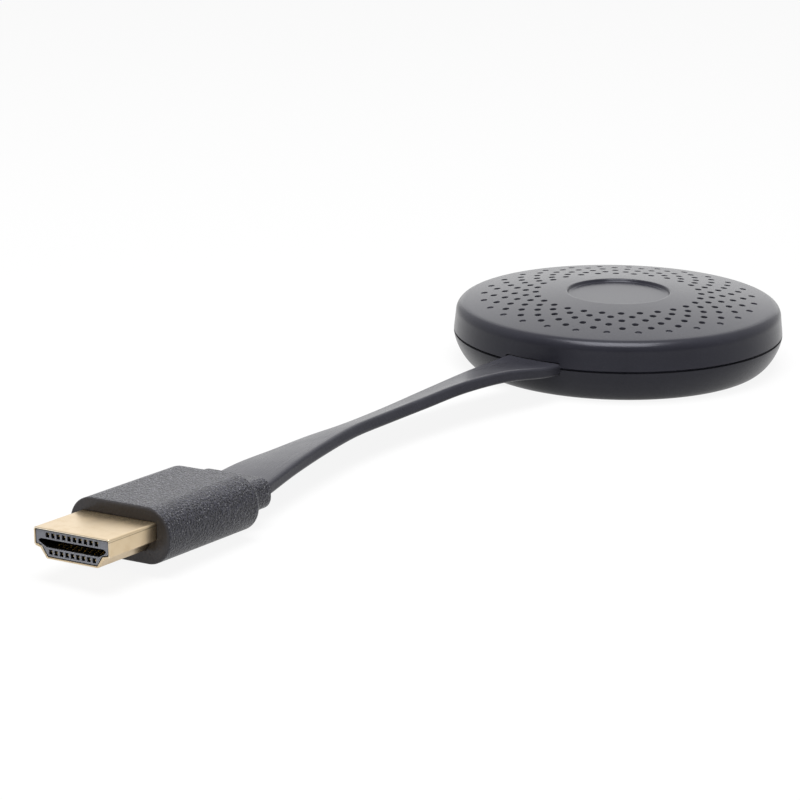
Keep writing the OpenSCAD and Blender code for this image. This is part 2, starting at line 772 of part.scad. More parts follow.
module cable_anchor() {
  color([0.13, 0.13, 0.14]) translate([0, 0, cable_z])
    along_y(rounded(box_outline(anchor_w, anchor_h), cable_corner_r, 4), anchor_front_y, anchor_back_y);
}

module cable_wires() {
  start_z = cable_z;
  end_z = board_top + fit_gap + wire_t / 2;
  path_shares = [[0, 0], [0.18, 0], [0.34, 0.12], [0.58, 0.88], [0.74, 1], [1, 1]];
  centre = [for (s = path_shares)
    [anchor_back_y + (wire_end_y - anchor_back_y) * s[0], start_z + (end_z - start_z) * s[1]]];
  color([0.6, 0.6, 0.62]) for (x = row(wire_count, wire_pitch)) across_x(band_of(centre, wire_t), x, wire_t);
}

module solder_joints() {
  color([0.72, 0.73, 0.75]) for (x = row(wire_count, wire_pitch))
    block(solder_w, solder_l, wire_t + 2 * fit_gap, [x, wire_end_y + solder_l / 2, board_top]);
}

// Cable's section, with rounded corners
cable_section = rounded(box_outline(cable_w, cable_t), cable_corner_r, cable_corner_steps);
plug_lean = turned([-sin(plug_pitch) * sin(plug_roll), -cos(plug_pitch)], plug_turn);
plug_axis = [plug_lean[0], plug_lean[1], sin(plug_pitch) * cos(plug_roll)];
cable_end = [plug_x, plug_y, plug_z] - plug_axis * mould_back_y;
cable_points = concat(
  [[0, anchor_front_y, cable_z, 0], [0, anchor_front_y - cable_lead_in, cable_z, 0]],
  cable_route, [concat(cable_end, [plug_roll])]);

// Catmull-Rom spline through a list of points of any length
function spline_at(a, b, c, d, t) = 0.5 * (2 * b + (c - a) * t + (2 * a - 5 * b + 4 * c - d) * pow(t, 2)
  + (3 * b - a - 3 * c + d) * pow(t, 3));
function smooth_route(p, n) = concat(
  [for (i = [0:len(p) - 2], k = [0:n - 1])
    spline_at(p[max(i - 1, 0)], p[i], p[i + 1], p[min(i + 2, len(p) - 1)], k / n)], [p[len(p) - 1]]);
function place(p) = [p[0], p[1], p[2]];
function heading(p, i) = unit(place(p[min(i + 1, len(p) - 1)]) - place(p[max(i - 1, 0)]));
function level_side(t) = unit(cross([0, 0, 1], t));
function ring_points(p, i, t, outline, twist) =
  let (side = level_side(t), up = cross(t, side), s = side * cos(twist) + up * sin(twist),
       u = up * cos(twist) - side * sin(twist))
  [for (q = outline) place(p[i]) + s * q[0] + u * q[1]];
function tube_faces(rings, sides) = concat(
  [[for (k = [0:sides - 1]) k]], [[for (k = [sides - 1:-1:0]) (rings - 1) * sides + k]],
  [for (i = [0:rings - 2], k = [0:sides - 1])
    [i * sides + k, (i + 1) * sides + k, (i + 1) * sides + (k + 1) % sides]],
  [for (i = [0:rings - 2], k = [0:sides - 1])
    [i * sides + k, (i + 1) * sides + (k + 1) % sides, i * sides + (k + 1) % sides]]);

module round_tube(p, d, sides) {
  outline = [for (k = [0:sides - 1]) [d / 2 * cos(360 * k / sides), d / 2 * sin(360 * k / sides)]];
  polyhedron(points = [for (i = [0:len(p) - 1]) each ring_points(p, i, heading(p, i), outline, 0)],
    faces = tube_faces(len(p), sides));
}

module flat_cable() {
  p = smooth_route(cable_points, cable_rings_per_leg);
  last = len(p) - 1;
  color([0.2, 0.2, 0.22]) polyhedron(
    points = [for (i = [0:last]) each ring_points(p, i,
      i == 0 ? [0, -1, 0] : i == last ? plug_axis : heading(p, i), cable_section, p[i][3])],
    faces = tube_faces(last + 1, len(cable_section)));
}

module plug_cable_end() {
  color([0.2, 0.2, 0.22]) at_plug() along_y(cable_section, cable_end_y, mould_back_y);
}

// Section of the plug's shell and of what fits inside it
function shell_outline(inset) =
  let (w = shell_w / 2 - inset, top = shell_h / 2 - inset, foot = shell_foot_w / 2 - 0.6 * inset,
       side_z = shell_h / 2 - shell_side_h + inset)
  rounded(with_mirror([[w, top], [w, side_z], [w - shell_step, side_z - shell_step_h],
    [foot, inset - shell_h / 2]]), shell_step_r, 3);

module plug_shell() {
  color([0.83, 0.73, 0.54]) at_plug() difference() {
    along_y(shell_outline(0), -shell_reach, shell_back_y);
    along_y(shell_outline(shell_t), -shell_reach - over, shell_back_y + over);
  }
}

module plug_insulator() {
  mating = with_mirror([[mating_top_w / 2, mating_top_z], [mating_w / 2, mating_side_z],
    [mating_waist_w / 2, 0], [mating_foot_w / 2, mating_foot_z]]);
  color([0.24, 0.25, 0.28]) at_plug() difference() {
    union() {
      along_y(shell_outline(shell_t + nose_gap), insulator_front_y, insulator_back_y);
      along_y(shell_outline(shell_t + fit_gap), insulator_front_y + nose_l, insulator_back_y);
    }
    along_y(mating, insulator_front_y - over, insulator_front_y + mating_depth);
    contact_pockets(upper_count, 1);
    contact_pockets(lower_count, -1);
  }
}

// Blind windows in the face, each opening into the mating slot behind a thin bar
module contact_pockets(count, side) {
  tall = pocket_outer_z - pocket_inner_z;
  low = side > 0 ? pocket_inner_z : -pocket_outer_z;
  inner_z = side > 0 ? mating_top_z : -mating_foot_z;
  deep = pocket_outer_z - inner_z + over;
  slot_low = side > 0 ? inner_z - over : -pocket_outer_z;
  for (x = row(count, contact_pitch)) {
    block(pocket_w, mating_depth + over, tall, [x, insulator_front_y + (mating_depth - over) / 2, low]);
    block(pocket_w, mating_depth - window_t, deep,
      [x, insulator_front_y + (mating_depth + window_t) / 2, slot_low]);
    block(pocket_w, insulator_back_y - insulator_front_y + over, contact_t + 2 * fit_gap,
      [x, (insulator_back_y + insulator_front_y + over) / 2, side * beam_rest_z - contact_t / 2 - fit_gap]);
  }
}

// Spring contacts: nose in the window, bow in the mating slot, straight tail at the back
module contact_row(count, side) {
  length = mating_depth;
  beam_shares = [[0.05, 0], [0.1, 0], [0.2, 0.6], [0.28, 1], [0.36, 0.9], [0.85, 0], [1, 0]];
  centre = concat(
    [for (s = beam_shares) [insulator_front_y + length * s[0],
      side * (beam_rest_z + (beam_touch_z - beam_rest_z) * s[1])]],
    [[tail_end_y, side * beam_rest_z]]);
  for (x = row(count, contact_pitch)) across_x(band_of(centre, contact_t), x, contact_w);
}

module upper_contacts() {
  color([0.86, 0.66, 0.3]) at_plug() contact_row(upper_count, 1);
}

module lower_contacts() {
  color([0.86, 0.66, 0.3]) at_plug() contact_row(lower_count, -1);
}

module rear_shield() {
  inner_w = shell_w + 2 * fit_gap;
  inner_h = shell_h + 2 * fit_gap;
  color([0.74, 0.75, 0.76]) at_plug() difference() {
    along_y(box_outline(inner_w + 2 * shield_t, inner_h + 2 * shield_t), shield_front_y, shield_back_y);
    along_y(box_outline(inner_w, inner_h), shield_front_y - over, shield_back_y - shield_t);
    along_y(box_outline(cable_w + 2 * fit_gap, cable_t + 2 * fit_gap), shield_back_y - shield_t - over,
      shield_back_y + over);
  }
}

module inner_mould() {
  color([0.85, 0.86, 0.84]) at_plug() difference() {
    along_y(box_outline(shell_w, shell_h), block_front_y, block_back_y);
    along_y(box_outline(cable_w + 2 * fit_gap, channel_h), block_front_y - over, block_back_y + over);
  }
}

module plug_wires() {
  wire_z = plug_wire_d / 2 + fit_gap;
  color([0.6, 0.6, 0.62]) at_plug() {
    for (x = row(upper_count, contact_pitch))
      translate([x, tail_end_y, wire_z]) rotate([-90, 0, 0])
        cylinder(h = cable_end_y - tail_end_y, d = plug_wire_d, $fn = 16);
    for (x = row(lower_count, contact_pitch))
      translate([x, tail_end_y, -wire_z]) rotate([-90, 0, 0])
        cylinder(h = cable_end_y - tail_end_y, d = plug_wire_d, $fn = 16);
  }
}

module crimp_ferrule() {
  inner_w = cable_w + 2 * fit_gap;
  inner_h = cable_t + 2 * fit_gap;
  color([0.72, 0.72, 0.74]) at_plug() difference() {
    along_y(box_outline(inner_w + 2 * ferrule_t, inner_h + 2 * ferrule_t), shield_back_y + fit_gap,
      shield_back_y + ferrule_l);
    along_y(box_outline(inner_w, inner_h), shield_back_y - over, shield_back_y + ferrule_l + over);
  }
}

// Stadium-like section of the overmould, moved in by an inset
function mould_section(inset) =
  rounded(box_outline(mould_w - 2 * inset, mould_h - 2 * inset), mould_corner_r - inset, arc_steps);

module plug_overmould() {
  collar_r = collar_h / 2 - cable_corner_r;
  cable_hole = rounded(box_outline(cable_w + 2 * fit_gap, cable_t + 2 * fit_gap), cable_corner_r, 2);
  color([0.22, 0.22, 0.24]) at_plug() difference() {
    union() {
      hull() {
        along_y(mould_section(mould_front_r), 0, mould_front_r);
        along_y(mould_section(0), mould_front_r, mould_l - mould_rear_r);
        along_y(mould_section(mould_rear_r * 0.3), mould_l - 2 * mould_rear_r, mould_l - mould_rear_r * 0.4);
        along_y(mould_section(mould_rear_r), mould_l - 2 * mould_rear_r, mould_l);
      }
      hull() {
        along_y(rounded(box_outline(collar_w, collar_h), collar_r, arc_steps), mould_l - mould_rear_r,
          mould_back_y - mould_front_r);
        along_y(rounded(box_outline(collar_w - 2 * mould_front_r, collar_h - 2 * mould_front_r),
          collar_r - mould_front_r, arc_steps), mould_l - mould_rear_r, mould_back_y);
      }
    }
    along_y(shell_outline(-fit_gap), -over, shield_front_y + over);
    along_y(box_outline(shell_w + 4 * fit_gap + 2 * shield_t, shell_h + 4 * fit_gap + 2 * shield_t),
      shield_front_y, shield_back_y + fit_gap / 2);
    along_y(box_outline(cable_w + 4 * fit_gap + 2 * ferrule_t, cable_t + 4 * fit_gap + 2 * ferrule_t),
      shield_back_y, shield_back_y + ferrule_l + fit_gap);
    along_y(cable_hole, shield_back_y, mould_back_y + over);
  }
}

top_cover();
bottom_cover();
heat_spreader();
thermal_pad();
plate_screws();
main_board();
processor();
memory_chips();
flash_chip();
power_chip();
wireless_board();
wireless_shield();
crystals();
inductors();
capacitors();
resistors();
status_led();
antenna_strip();
antenna_lead();
antenna_connector();
socket_shell();
socket_tongue();
socket_contacts();
switch_body();
switch_plunger();
mode_button();
cable_anchor();
cable_wires();
solder_joints();
flat_cable();
plug_cable_end();
plug_overmould();
crimp_ferrule();
rear_shield();
inner_mould();
plug_wires();
plug_insulator();
upper_contacts();
lower_contacts();
plug_shell();
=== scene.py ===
"""Looks of a screen mirroring dongle: a round vented case, a flat captive cable and a gold plated plug.

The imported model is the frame. Covers, cable, overmould and plug shell are fuller pieces that stand for
their plain solids, and every other solid keeps its shape and gets a finish. Sizes are in millimetres until
a mesh is made.
"""

import json
import logging
import math
from dataclasses import dataclass, field
from enum import Enum
from typing import Any, Callable, Iterable, Mapping, Optional, Sequence, Union

import bmesh
import bpy
from mathutils import Matrix, Vector

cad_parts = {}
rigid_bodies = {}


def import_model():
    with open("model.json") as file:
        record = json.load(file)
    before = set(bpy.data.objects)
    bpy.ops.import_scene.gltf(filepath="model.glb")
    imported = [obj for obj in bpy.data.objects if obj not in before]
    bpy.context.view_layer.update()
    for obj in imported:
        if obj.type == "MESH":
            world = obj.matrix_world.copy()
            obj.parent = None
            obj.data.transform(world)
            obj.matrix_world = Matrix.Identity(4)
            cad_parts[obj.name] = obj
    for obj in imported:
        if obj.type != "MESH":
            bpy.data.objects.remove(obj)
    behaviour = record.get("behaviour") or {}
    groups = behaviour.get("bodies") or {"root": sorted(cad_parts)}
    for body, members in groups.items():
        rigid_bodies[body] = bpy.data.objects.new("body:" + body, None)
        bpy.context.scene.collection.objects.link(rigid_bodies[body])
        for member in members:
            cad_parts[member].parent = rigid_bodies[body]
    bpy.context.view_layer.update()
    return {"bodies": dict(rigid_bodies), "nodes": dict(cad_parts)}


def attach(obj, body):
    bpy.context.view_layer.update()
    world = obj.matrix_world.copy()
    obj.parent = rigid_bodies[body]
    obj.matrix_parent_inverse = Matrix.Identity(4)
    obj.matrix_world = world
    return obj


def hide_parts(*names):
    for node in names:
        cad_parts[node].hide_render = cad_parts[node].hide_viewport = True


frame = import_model()

MM = 0.001
LOG = logging.getLogger("dongle")

Colour = tuple[float, float, float]
Flat = tuple[float, float]
Place = tuple[float, float, float]
Sizes = tuple[float, float, float]
Operand = Union["Signal", float, int, Sequence[float]]

WHITE = (1.0, 1.0, 1.0)
COOL_GLOSS = (0.9, 0.91, 1.0)
DUST = (0.3, 0.3, 0.3)
RUBBED = (0.95, 0.95, 0.95)
CLOUDED = (0.3, 0.7)


def srgb(code: str) -> Colour:
    """Turns a screen colour of six hexadecimal digits into the linear one that a shader takes."""
    levels = [int(code[i : i + 2], 16) / 255 for i in (0, 2, 4)]
    return tuple(v / 12.92 if v <= 0.04045 else ((v + 0.055) / 1.055) ** 2.4 for v in levels)


class Body(Enum):
    """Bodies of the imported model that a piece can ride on."""

    DONGLE = "dongle"
    BUTTON = "button"


class Slot(Enum):
    """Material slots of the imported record."""

    CASE = "case_plastic"
    BUTTON = "button_plastic"
    CABLE = "cable_plastic"
    MOULD = "mould_plastic"
    GOLD = "gold_plate"
    CONTACT = "contact_gold"
    INSULATOR = "insulator_plastic"
    BOARD = "board_laminate"
    CHIP = "chip_resin"
    MODULE = "module_laminate"
    TIN = "tinned_steel"
    SPREADER = "spreader_alloy"
    PAD = "pad_rubber"
    CERAMIC = "ceramic"
    FERRITE = "ferrite"
    LED = "led_resin"
    ANTENNA = "antenna_copper"
    WIRE = "wire_plastic"
    INNER = "inner_plastic"
    PLUNGER = "plunger_plastic"


# -------------------------------------------------------------------------------- shaders


def operator(operation: str, reflected: bool = False) -> Callable[["Signal", Operand], "Signal"]:
    """Makes the method behind one of Python's operators on sockets.

    Args:
        operation: The Math node's operation.
        reflected: Whether the socket stands on the right, as in 1 - mask.

    Returns:
        The method.
    """

    def method(self: "Signal", other: Operand) -> "Signal":
        """Adds the operator's Math node."""
        return self.tree.maths(operation, *((other, self) if reflected else (self, other)))

    return method


class Signal:
    """A shader socket that takes part in arithmetic: each operation adds the Math node that it needs."""

    __add__, __radd__ = operator("ADD"), operator("ADD", True)
    __sub__, __rsub__ = operator("SUBTRACT"), operator("SUBTRACT", True)
    __mul__, __rmul__ = operator("MULTIPLY"), operator("MULTIPLY", True)
    __truediv__, __rtruediv__ = operator("DIVIDE"), operator("DIVIDE", True)
    __pow__, __rpow__ = operator("POWER"), operator("POWER", True)
    __lt__, __gt__ = operator("LESS_THAN"), operator("GREATER_THAN")

    def __init__(self, tree: "FinishTree", socket: bpy.types.NodeSocket) -> None:
        """Wraps an output socket of a finish."""
        self.tree = tree
        self.socket = socket

    def __abs__(self) -> "Signal":
        """Distance from zero."""
        return self.tree.maths("ABSOLUTE", self)


class FinishTree:
    """Builds the nodes of one material, or of the world round the object."""

    def __init__(self, owner: Union[bpy.types.Material, bpy.types.World]) -> None:
        """Starts without nodes.

        Args:
            owner: The material or world whose nodes are made.
        """
        owner.use_nodes = True
        self.owner = owner
        self.nodes = owner.node_tree.nodes
        self.links = owner.node_tree.links
        self.nodes.clear()

    def node(
        self,
        kind: str,
        settings: Optional[Mapping[str, Any]] = None,
        values: Optional[Mapping[Union[str, int], Any]] = None,
        output: Union[str, int] = 0,
    ) -> Signal:
        """Adds any node.

        Args:
            kind: The node's type.
            settings: Its own settings, which are set first.
            values: A number, colour or signal for each input socket, by name or index.
            output: The output socket that is returned.

        Returns:
            The chosen output.
        """
        made = self.nodes.new(kind)
        for key, value in (settings or {}).items():
            setattr(made, key, value)
        for key, value in (values or {}).items():
            self._feed(made.inputs[key], value)
        return Signal(self, made.outputs[output])

    def _feed(self, socket: bpy.types.NodeSocket, value: Any) -> None:
        """Links or sets one input.

        Args:
            socket: The input socket.
            value: A signal, number, colour or vector.
        """
        if isinstance(value, Signal):
            self.links.new(value.socket, socket)
        elif isinstance(value, (tuple, list)) and socket.type == "RGBA" and len(value) == 3:
            socket.default_value = (*value, 1.0)
        else:
            socket.default_value = value

    def maths(self, operation: str, *operands: Operand) -> Signal:
        """Adds a Math node on signals or numbers."""
        return self.node("ShaderNodeMath", {"operation": operation}, dict(enumerate(operands)))

    def vector_maths(self, operation: str, *operands: Operand, output: Union[str, int] = 0) -> Signal:
        """Adds a Vector Math node on vector signals or triples."""
        return self.node("ShaderNodeVectorMath", {"operation": operation}, dict(enumerate(operands)), output)

    def scaled(self, vector: Signal, factors: Sequence[float]) -> Signal:
        """A vector or colour, with each of its three parts multiplied."""
        return self.vector_maths("MULTIPLY", vector, tuple(factors))

    def mix(self, factor: Operand, first: Any, second: Any) -> Signal:
        """Mixes two colours, where factor is the share of the second."""
        settings = {"data_type": "RGBA", "clamp_factor": True}
        return self.node("ShaderNodeMix", settings, {0: factor, 6: first, 7: second}, 2)

    def ray(self, kind: str) -> Signal:
        """1 for one kind of light ray, such as Is Camera Ray, and 0 for the others."""
        return self.node("ShaderNodeLightPath", output=kind)

    def place(self) -> Signal:
        """Place on the object, in metres."""
        return self.node("ShaderNodeTexCoord", output="Object")

    def stretched(self, scale: Sequence[float]) -> Signal:
        """Place on the object, scaled differently along each axis."""
        return self.scaled(self.place(), scale)

    def parts_of(self, vector: Signal) -> tuple[Signal, Signal, Signal]:
        """Splits a vector.

        Args:
            vector: A vector signal.

        Returns:
            Its x, y and z.
        """
        split = self.nodes.new("ShaderNodeSeparateXYZ")
        self.links.new(vector.socket, split.inputs[0])
        return tuple(Signal(self, split.outputs[i]) for i in range(3))

    def noise(
        self, grain: float, detail: float = 2.0, rough: float = 0.5, vector: Optional[Signal] = None
    ) -> Signal:
        """Smooth noise.

        Args:
            grain: Size of its spots in millimetres, or in the vector's own unit.
            detail: How many finer layers it has.
            rough: How strong the finer layers are.
            vector: Place to use instead of the object's.

        Returns:
            A value about 0.5.
        """
        scale = 1 / grain if vector else 1 / (grain * MM)
        values = {"Vector": vector or self.place(), "Scale": scale, "Detail": detail, "Roughness": rough}
        return self.node("ShaderNodeTexNoise", None, values, "Fac")

    def cells(self, size: float, spread: float = 1.0) -> Signal:
        """Distance to the nearest of points scattered size millimetres apart, from 0 to about 1."""
        values = {"Vector": self.place(), "Scale": 1 / (size * MM), "Randomness": spread}
        return self.node("ShaderNodeTexVoronoi", None, values, "Distance")

    def span(self, signal: Operand, low: float, high: float, start: float = 0.0, end: float = 1.0) -> Signal:
        """Maps a range smoothly to another and stops at its ends.

        Args:
            signal: What is mapped.
            low: Value that gives start.
            high: Value that gives end.
            start: Result at low.
            end: Result at high.

        Returns:
            The mapped value.
        """
        settings = {"interpolation_type": "SMOOTHSTEP"}
        values = {"Value": signal, "From Min": low, "From Max": high, "To Min": start, "To Max": end}
        return self.node("ShaderNodeMapRange", settings, values, "Result")

    def edges(self, low: float = 0.51, high: float = 0.6) -> Signal:
        """1 on outer edges and 0 elsewhere, between two values of Geometry's Pointiness."""
        return self.span(self.node("ShaderNodeNewGeometry", output="Pointiness"), low, high)

    def bump(
        self, height: Operand, depth: float, strength: float = 1.0, under: Optional[Signal] = None
    ) -> Signal:
        """Turns a height into a normal.

        Args:
            height: The height, 0 to 1.
            depth: Real height of 1, in millimetres.
            strength: How much of it counts.
            under: A normal that this one is laid over.

        Returns:
            The normal.
        """
        values = {"Height": height, "Distance": depth * MM, "Strength": strength}
        if under:
            values["Normal"] = under
        return self.node("ShaderNodeBump", None, values)

    def surface(self, **sockets: Any) -> bpy.types.Material:
        """Ends the material with its shader.

        Args:
            **sockets: Values of the shader's sockets, with underscores for spaces.

        Returns:
            The finished material.
        """
        named = {key.replace("_", " "): value for key, value in sockets.items()}
        self.end(self.node("ShaderNodeBsdfPrincipled", None, named))
        return self.owner

    def end(self, shader: Signal, kind: str = "ShaderNodeOutputMaterial") -> None:
        """Links a shader to the output of the material or the world."""
        self.links.new(shader.socket, self.nodes.new(kind).inputs["Surface"])


@dataclass(frozen=True)
class Finish:
    """A finish of one material slot."""

    name: str
    slot: Slot
    colour: Colour

    def tint(self, factor: float, lift: float = 0.0) -> Colour:
        """The finish's colour multiplied and lifted, and no brighter than white."""
        return tuple(min(1.0, lift + factor * c) for c in self.colour)

    def mottled(self, tree: FinishTree, cloud: Signal, dark: float, light: float) -> Signal:
        """The finish's colour, which a soft noise makes darker and lighter by two factors."""
        return tree.mix(tree.span(cloud, *CLOUDED), self.tint(dark), self.tint(light))

    def paint(self, tree: FinishTree) -> bpy.types.Material:
        """Builds the nodes of an empty material and returns it."""
        raise NotImplementedError

    def material(self) -> bpy.types.Material:
        """Returns the material, which is made once."""
        made = bpy.data.materials.get(self.name)
        return made or self.paint(FinishTree(bpy.data.materials.new(self.name)))


@dataclass(frozen=True)
class SparkedPlastic(Finish):
    """Plastic from a spark-eroded mould: an even fine grain that scatters the light."""

    grain: float = 0.16
    depth: float = 0.012
    roughness: float = 0.5
    gloss: float = 0.4
    # Share of pale painted glints, which stand in for small highlights on the grain.
    painted_glint: float = 0.12
    cloud: float = 0.1
    # Share by which the colour is painted lighter and darker with the grain's bumps, as their light and
    # shade.
    painted_grain_shading: float = 0.0
    # A bare front is left ungrained and gets a lighter, warmer colour, which is painted light on that face.
    bare_front_painted_light: bool = False
    polished_r: float = 0.0
    # A point on the front face and the way into the part, from which the colour is painted darker as shade.
    front: Optional[Place] = None
    inward: Place = (0.0, 1.0, 0.0)
    # Lighter, warmer colour painted on the bare front as the light on that face.
    painted_front_light: Colour = (0.056, 0.051, 0.049)
    # Nearly black colour painted as shade in recesses behind the front face.
    painted_recess_shade: Colour = (0.02, 0.018, 0.018)

    def paint(self, tree: FinishTree) -> bpy.types.Material:
        """Builds grain with painted light, shade and glints on it, faint clouding and worn edges.

        Args:
            tree: The empty material.

        Returns:
            The finished material.
        """
        pits = tree.cells(self.grain, 0.9)
        fine = tree.noise(self.grain * 0.6, 2.0, 0.6)
        cloud = tree.noise(14.0, 3.0, 0.55)
        grained: Operand = 1.0
        across, along, _ = tree.parts_of(tree.place())
        if self.bare_front_painted_light:
            grained = tree.span(along, 0.05 * MM, 0.45 * MM, 0.2, 1.0)
        if self.polished_r:
            reach = (across * across + along * along) ** 0.5
            grained = tree.span(reach, (self.polished_r - 0.3) * MM, self.polished_r * MM)
        height = (0.65 * pits + 0.35 * fine) * grained
        # Painted glints: pale spots in the colour stand in for small highlights on the grain.
        painted_glints = tree.span(tree.noise(self.grain * 0.5, 1.0, 0.4), 0.62, 0.74) * grained
        shade = self.mottled(tree, cloud, 1 - self.cloud, 1 + self.cloud)
        # Painted light and shade of the grain: lighter and darker copies of the colour follow the same noise
        # as the bumps.
        if self.painted_grain_shading:
            spots = 0.5 + (tree.span(0.6 * fine + 0.4 * pits, 0.36, 0.62) - 0.5) * grained
            dim, lit = (tree.scaled(shade, [1 + change] * 3) for change in (-self.painted_grain_shading, self.painted_grain_shading))
            shade = tree.mix(spots, dim, lit)
        shade = tree.mix(painted_glints * self.painted_glint, shade, self.tint(2.2, 0.25))
        worn = tree.edges() * tree.span(tree.noise(1.2, 3.0, 0.6), 0.35, 0.7)
        shade = tree.mix(worn * 0.25, shade, self.tint(1.6, 0.03))
        # Painted light: the ungrained front face is coloured lighter and warmer than the rest.
        if self.bare_front_painted_light:
            shade = tree.mix(1 - grained, shade, self.painted_front_light)
        # Painted shade: behind the front face the colour turns nearly black from 0.02 to 0.2 mm deep, in
        # windows and gaps.
        if self.front:
            behind = tree.vector_maths("SUBTRACT", tree.place(), tuple(v * MM for v in self.front))
            shade_depth = tree.vector_maths("DOT_PRODUCT", behind, self.inward, output="Value")
            shade = tree.mix(tree.span(shade_depth, 0.02 * MM, 0.2 * MM), shade, self.painted_recess_shade)
        rough = self.roughness + 0.12 * (fine - 0.5) + 0.06 * (cloud - 0.5)
        return tree.surface(
            Base_Color=shade,
            Roughness=rough,
            Specular_IOR_Level=self.gloss,
            Specular_Tint=COOL_GLOSS,
            Normal=tree.bump(height, self.depth),
        )


@dataclass(frozen=True)
class DrawnJacket(Finish):
    """Soft cable jacket pulled through a die: faint lines along it and faint ribs of the wires inside."""

    roughness: float = 0.42
    gloss: float = 0.17
    rib_pitch: float = 0.55

    def paint(self, tree: FinishTree) -> bpy.types.Material:
        """Builds die lines, wire ribs, smudges and specks.

        Args:
            tree: The empty material.

        Returns:
            The finished material.
        """
        lay = tree.node("ShaderNodeUVMap", {"uv_map": "lay"})
        lines = tree.noise(0.22, 2.0, 0.5, tree.scaled(lay, (0.01, 1.0, 1.0)))
        smudge = tree.noise(6.0, 3.0, 0.6)
        specks = tree.span(tree.noise(0.25, 1.0, 0.4), 0.66, 0.78)
        _, across, _ = tree.parts_of(lay)
        ribs = tree.maths("COSINE", across * (2 * math.pi / self.rib_pitch))
        shade = self.mottled(tree, smudge, 0.92, 1.1)
        shade = tree.mix(specks * 0.06, shade, DUST)
        rough = self.roughness + 0.16 * (smudge - 0.5) + 0.1 * (lines - 0.5)
        matt = tree.noise(0.3, 2.0, 0.6)
        drawn = tree.bump(0.5 * lines + 0.5 * matt, 0.06)
        return tree.surface(
            Base_Color=shade,
            Roughness=rough,
            Specular_IOR_Level=self.gloss,
            Specular_Tint=COOL_GLOSS,
            Normal=tree.bump(0.5 + 0.5 * ribs, 0.004, 0.6, drawn),
        )


@dataclass(frozen=True)
class PlatedSheet(Finish):
    """Thin plating over rolled sheet: rolling lines, small stains and painted highlights on its edges."""

    stain: Colour = (0.5, 0.36, 0.18)
    # Pale colour painted on outer edges as a highlight.
    bright: Colour = (0.98, 0.93, 0.82)
    roughness: float = 0.3
    # Dark colour painted next to the overmould as its reflection on the shell.
    painted_mould_reflection: Colour = (0.12, 0.1, 0.07)
    # Dark colour of the joint between the sheet's ends, also painted as shade in the crease.
    dark_joint_and_crease_shade: Colour = (0.06, 0.045, 0.03)
    rolled: Sizes = (1.0, 0.04, 1.0)
    # Adds a painted reflection of the dark overmould next to it, which also grows the stain mask there.
    stain_and_mould_reflection: bool = False
    seam: bool = False
    tooth_y: float = 5.2
    tooth_half: Flat = (1.0, 1.5)
    tooth_reach: float = 0.9
    joint_half: Flat = (0.03, 0.07)
    joint_below: float = -2.0
    crease_z: float = 1.78
    crease_half: Flat = (0.02, 0.09)
    crease_beyond: float = 6.8

    def paint(self, tree: FinishTree) -> bpy.types.Material:
        """Builds rolling lines, stains, painted edge highlights and, on the plug's shell, a painted mould
        reflection and its folds.

        Args:
            tree: The empty material.

        Returns:
            The finished material.
        """
        across, along, up = tree.parts_of(tree.place())
        lines = tree.noise(0.05 * MM, 2.0, 0.6, tree.stretched(self.rolled))
        cloud = tree.noise(1.8, 4.0, 0.65)
        spots = tree.span(tree.noise(0.35, 3.0, 0.7), 0.6, 0.72)
        stain_and_reflection = 0.35 * tree.span(cloud, 0.42, 0.75) + 0.2 * spots
        # Painted reflection of the dark overmould: next to it the shell darkens with speckles, and the stain
        # mask grows there too.
        if self.stain_and_mould_reflection:
            reach = tree.span(abs(across), 6.6 * MM, 6.9 * MM, 3.4, 2.0)
            near_mould = tree.span(along / MM + reach, 0.0, 3.2)
            mould_reflection_mask = near_mould * (0.25 + 0.75 * tree.span(tree.noise(0.3, 4.0, 0.75), 0.4, 0.62))
            stain_and_reflection = stain_and_reflection + 0.4 * mould_reflection_mask
        shade = tree.mix(stain_and_reflection * 0.6, self.colour, self.stain)
        if self.stain_and_mould_reflection:
            shade = tree.mix(mould_reflection_mask * 0.75, shade, self.painted_mould_reflection)
        # Painted highlight: pale colour mixed onto the sheet's outer edges.
        shade = tree.mix(tree.edges(0.52, 0.62) * 0.8, shade, self.bright)
        rough = self.roughness + 0.22 * stain_and_reflection + 0.1 * (lines - 0.5)
        normal = tree.bump(lines * 0.5 + cloud * 0.5, 0.006)
        # The joint is a dark line between the sheet's ends; the darker crease under the top edges is painted
        # shade.
        if self.seam:
            fold = self._joint_and_crease(tree, across, along, up)
            shade = tree.mix(fold * 0.85, shade, self.dark_joint_and_crease_shade)
            normal = tree.bump(1 - fold, 0.03, 1.0, normal)
        return tree.surface(Base_Color=shade, Metallic=1.0, Roughness=rough, Normal=normal)

    def _joint_and_crease(self, tree: FinishTree, across: Signal, along: Signal, up: Signal) -> Signal:
        """Dark line where the sheet's ends meet below, and painted shade along the crease under the top
        edges.

        Args:
            tree: The material.
            across: Place across the plug.
            along: Place along the plug.
            up: Height over the plug's middle.

        Returns:
            The mask.
        """

        def near(distance: Signal, half: Flat, peak: float = 1.0) -> Signal:
            """Peak where a distance is under the first half width in millimetres, and 0 past the second."""
            return tree.span(distance, half[0] * MM, half[1] * MM, peak, 0.0)

        tooth = near(abs(along + self.tooth_y * MM), self.tooth_half, self.tooth_reach * MM)
        joint = near(abs(across - tooth), self.joint_half) * (up < self.joint_below * MM)
        beyond = abs(across) > self.crease_beyond * MM
        # Painted shade along the crease.
        crease = near(abs(up - self.crease_z * MM), self.crease_half) * beyond
        return tree.maths("MAXIMUM", joint, 0.55 * crease)


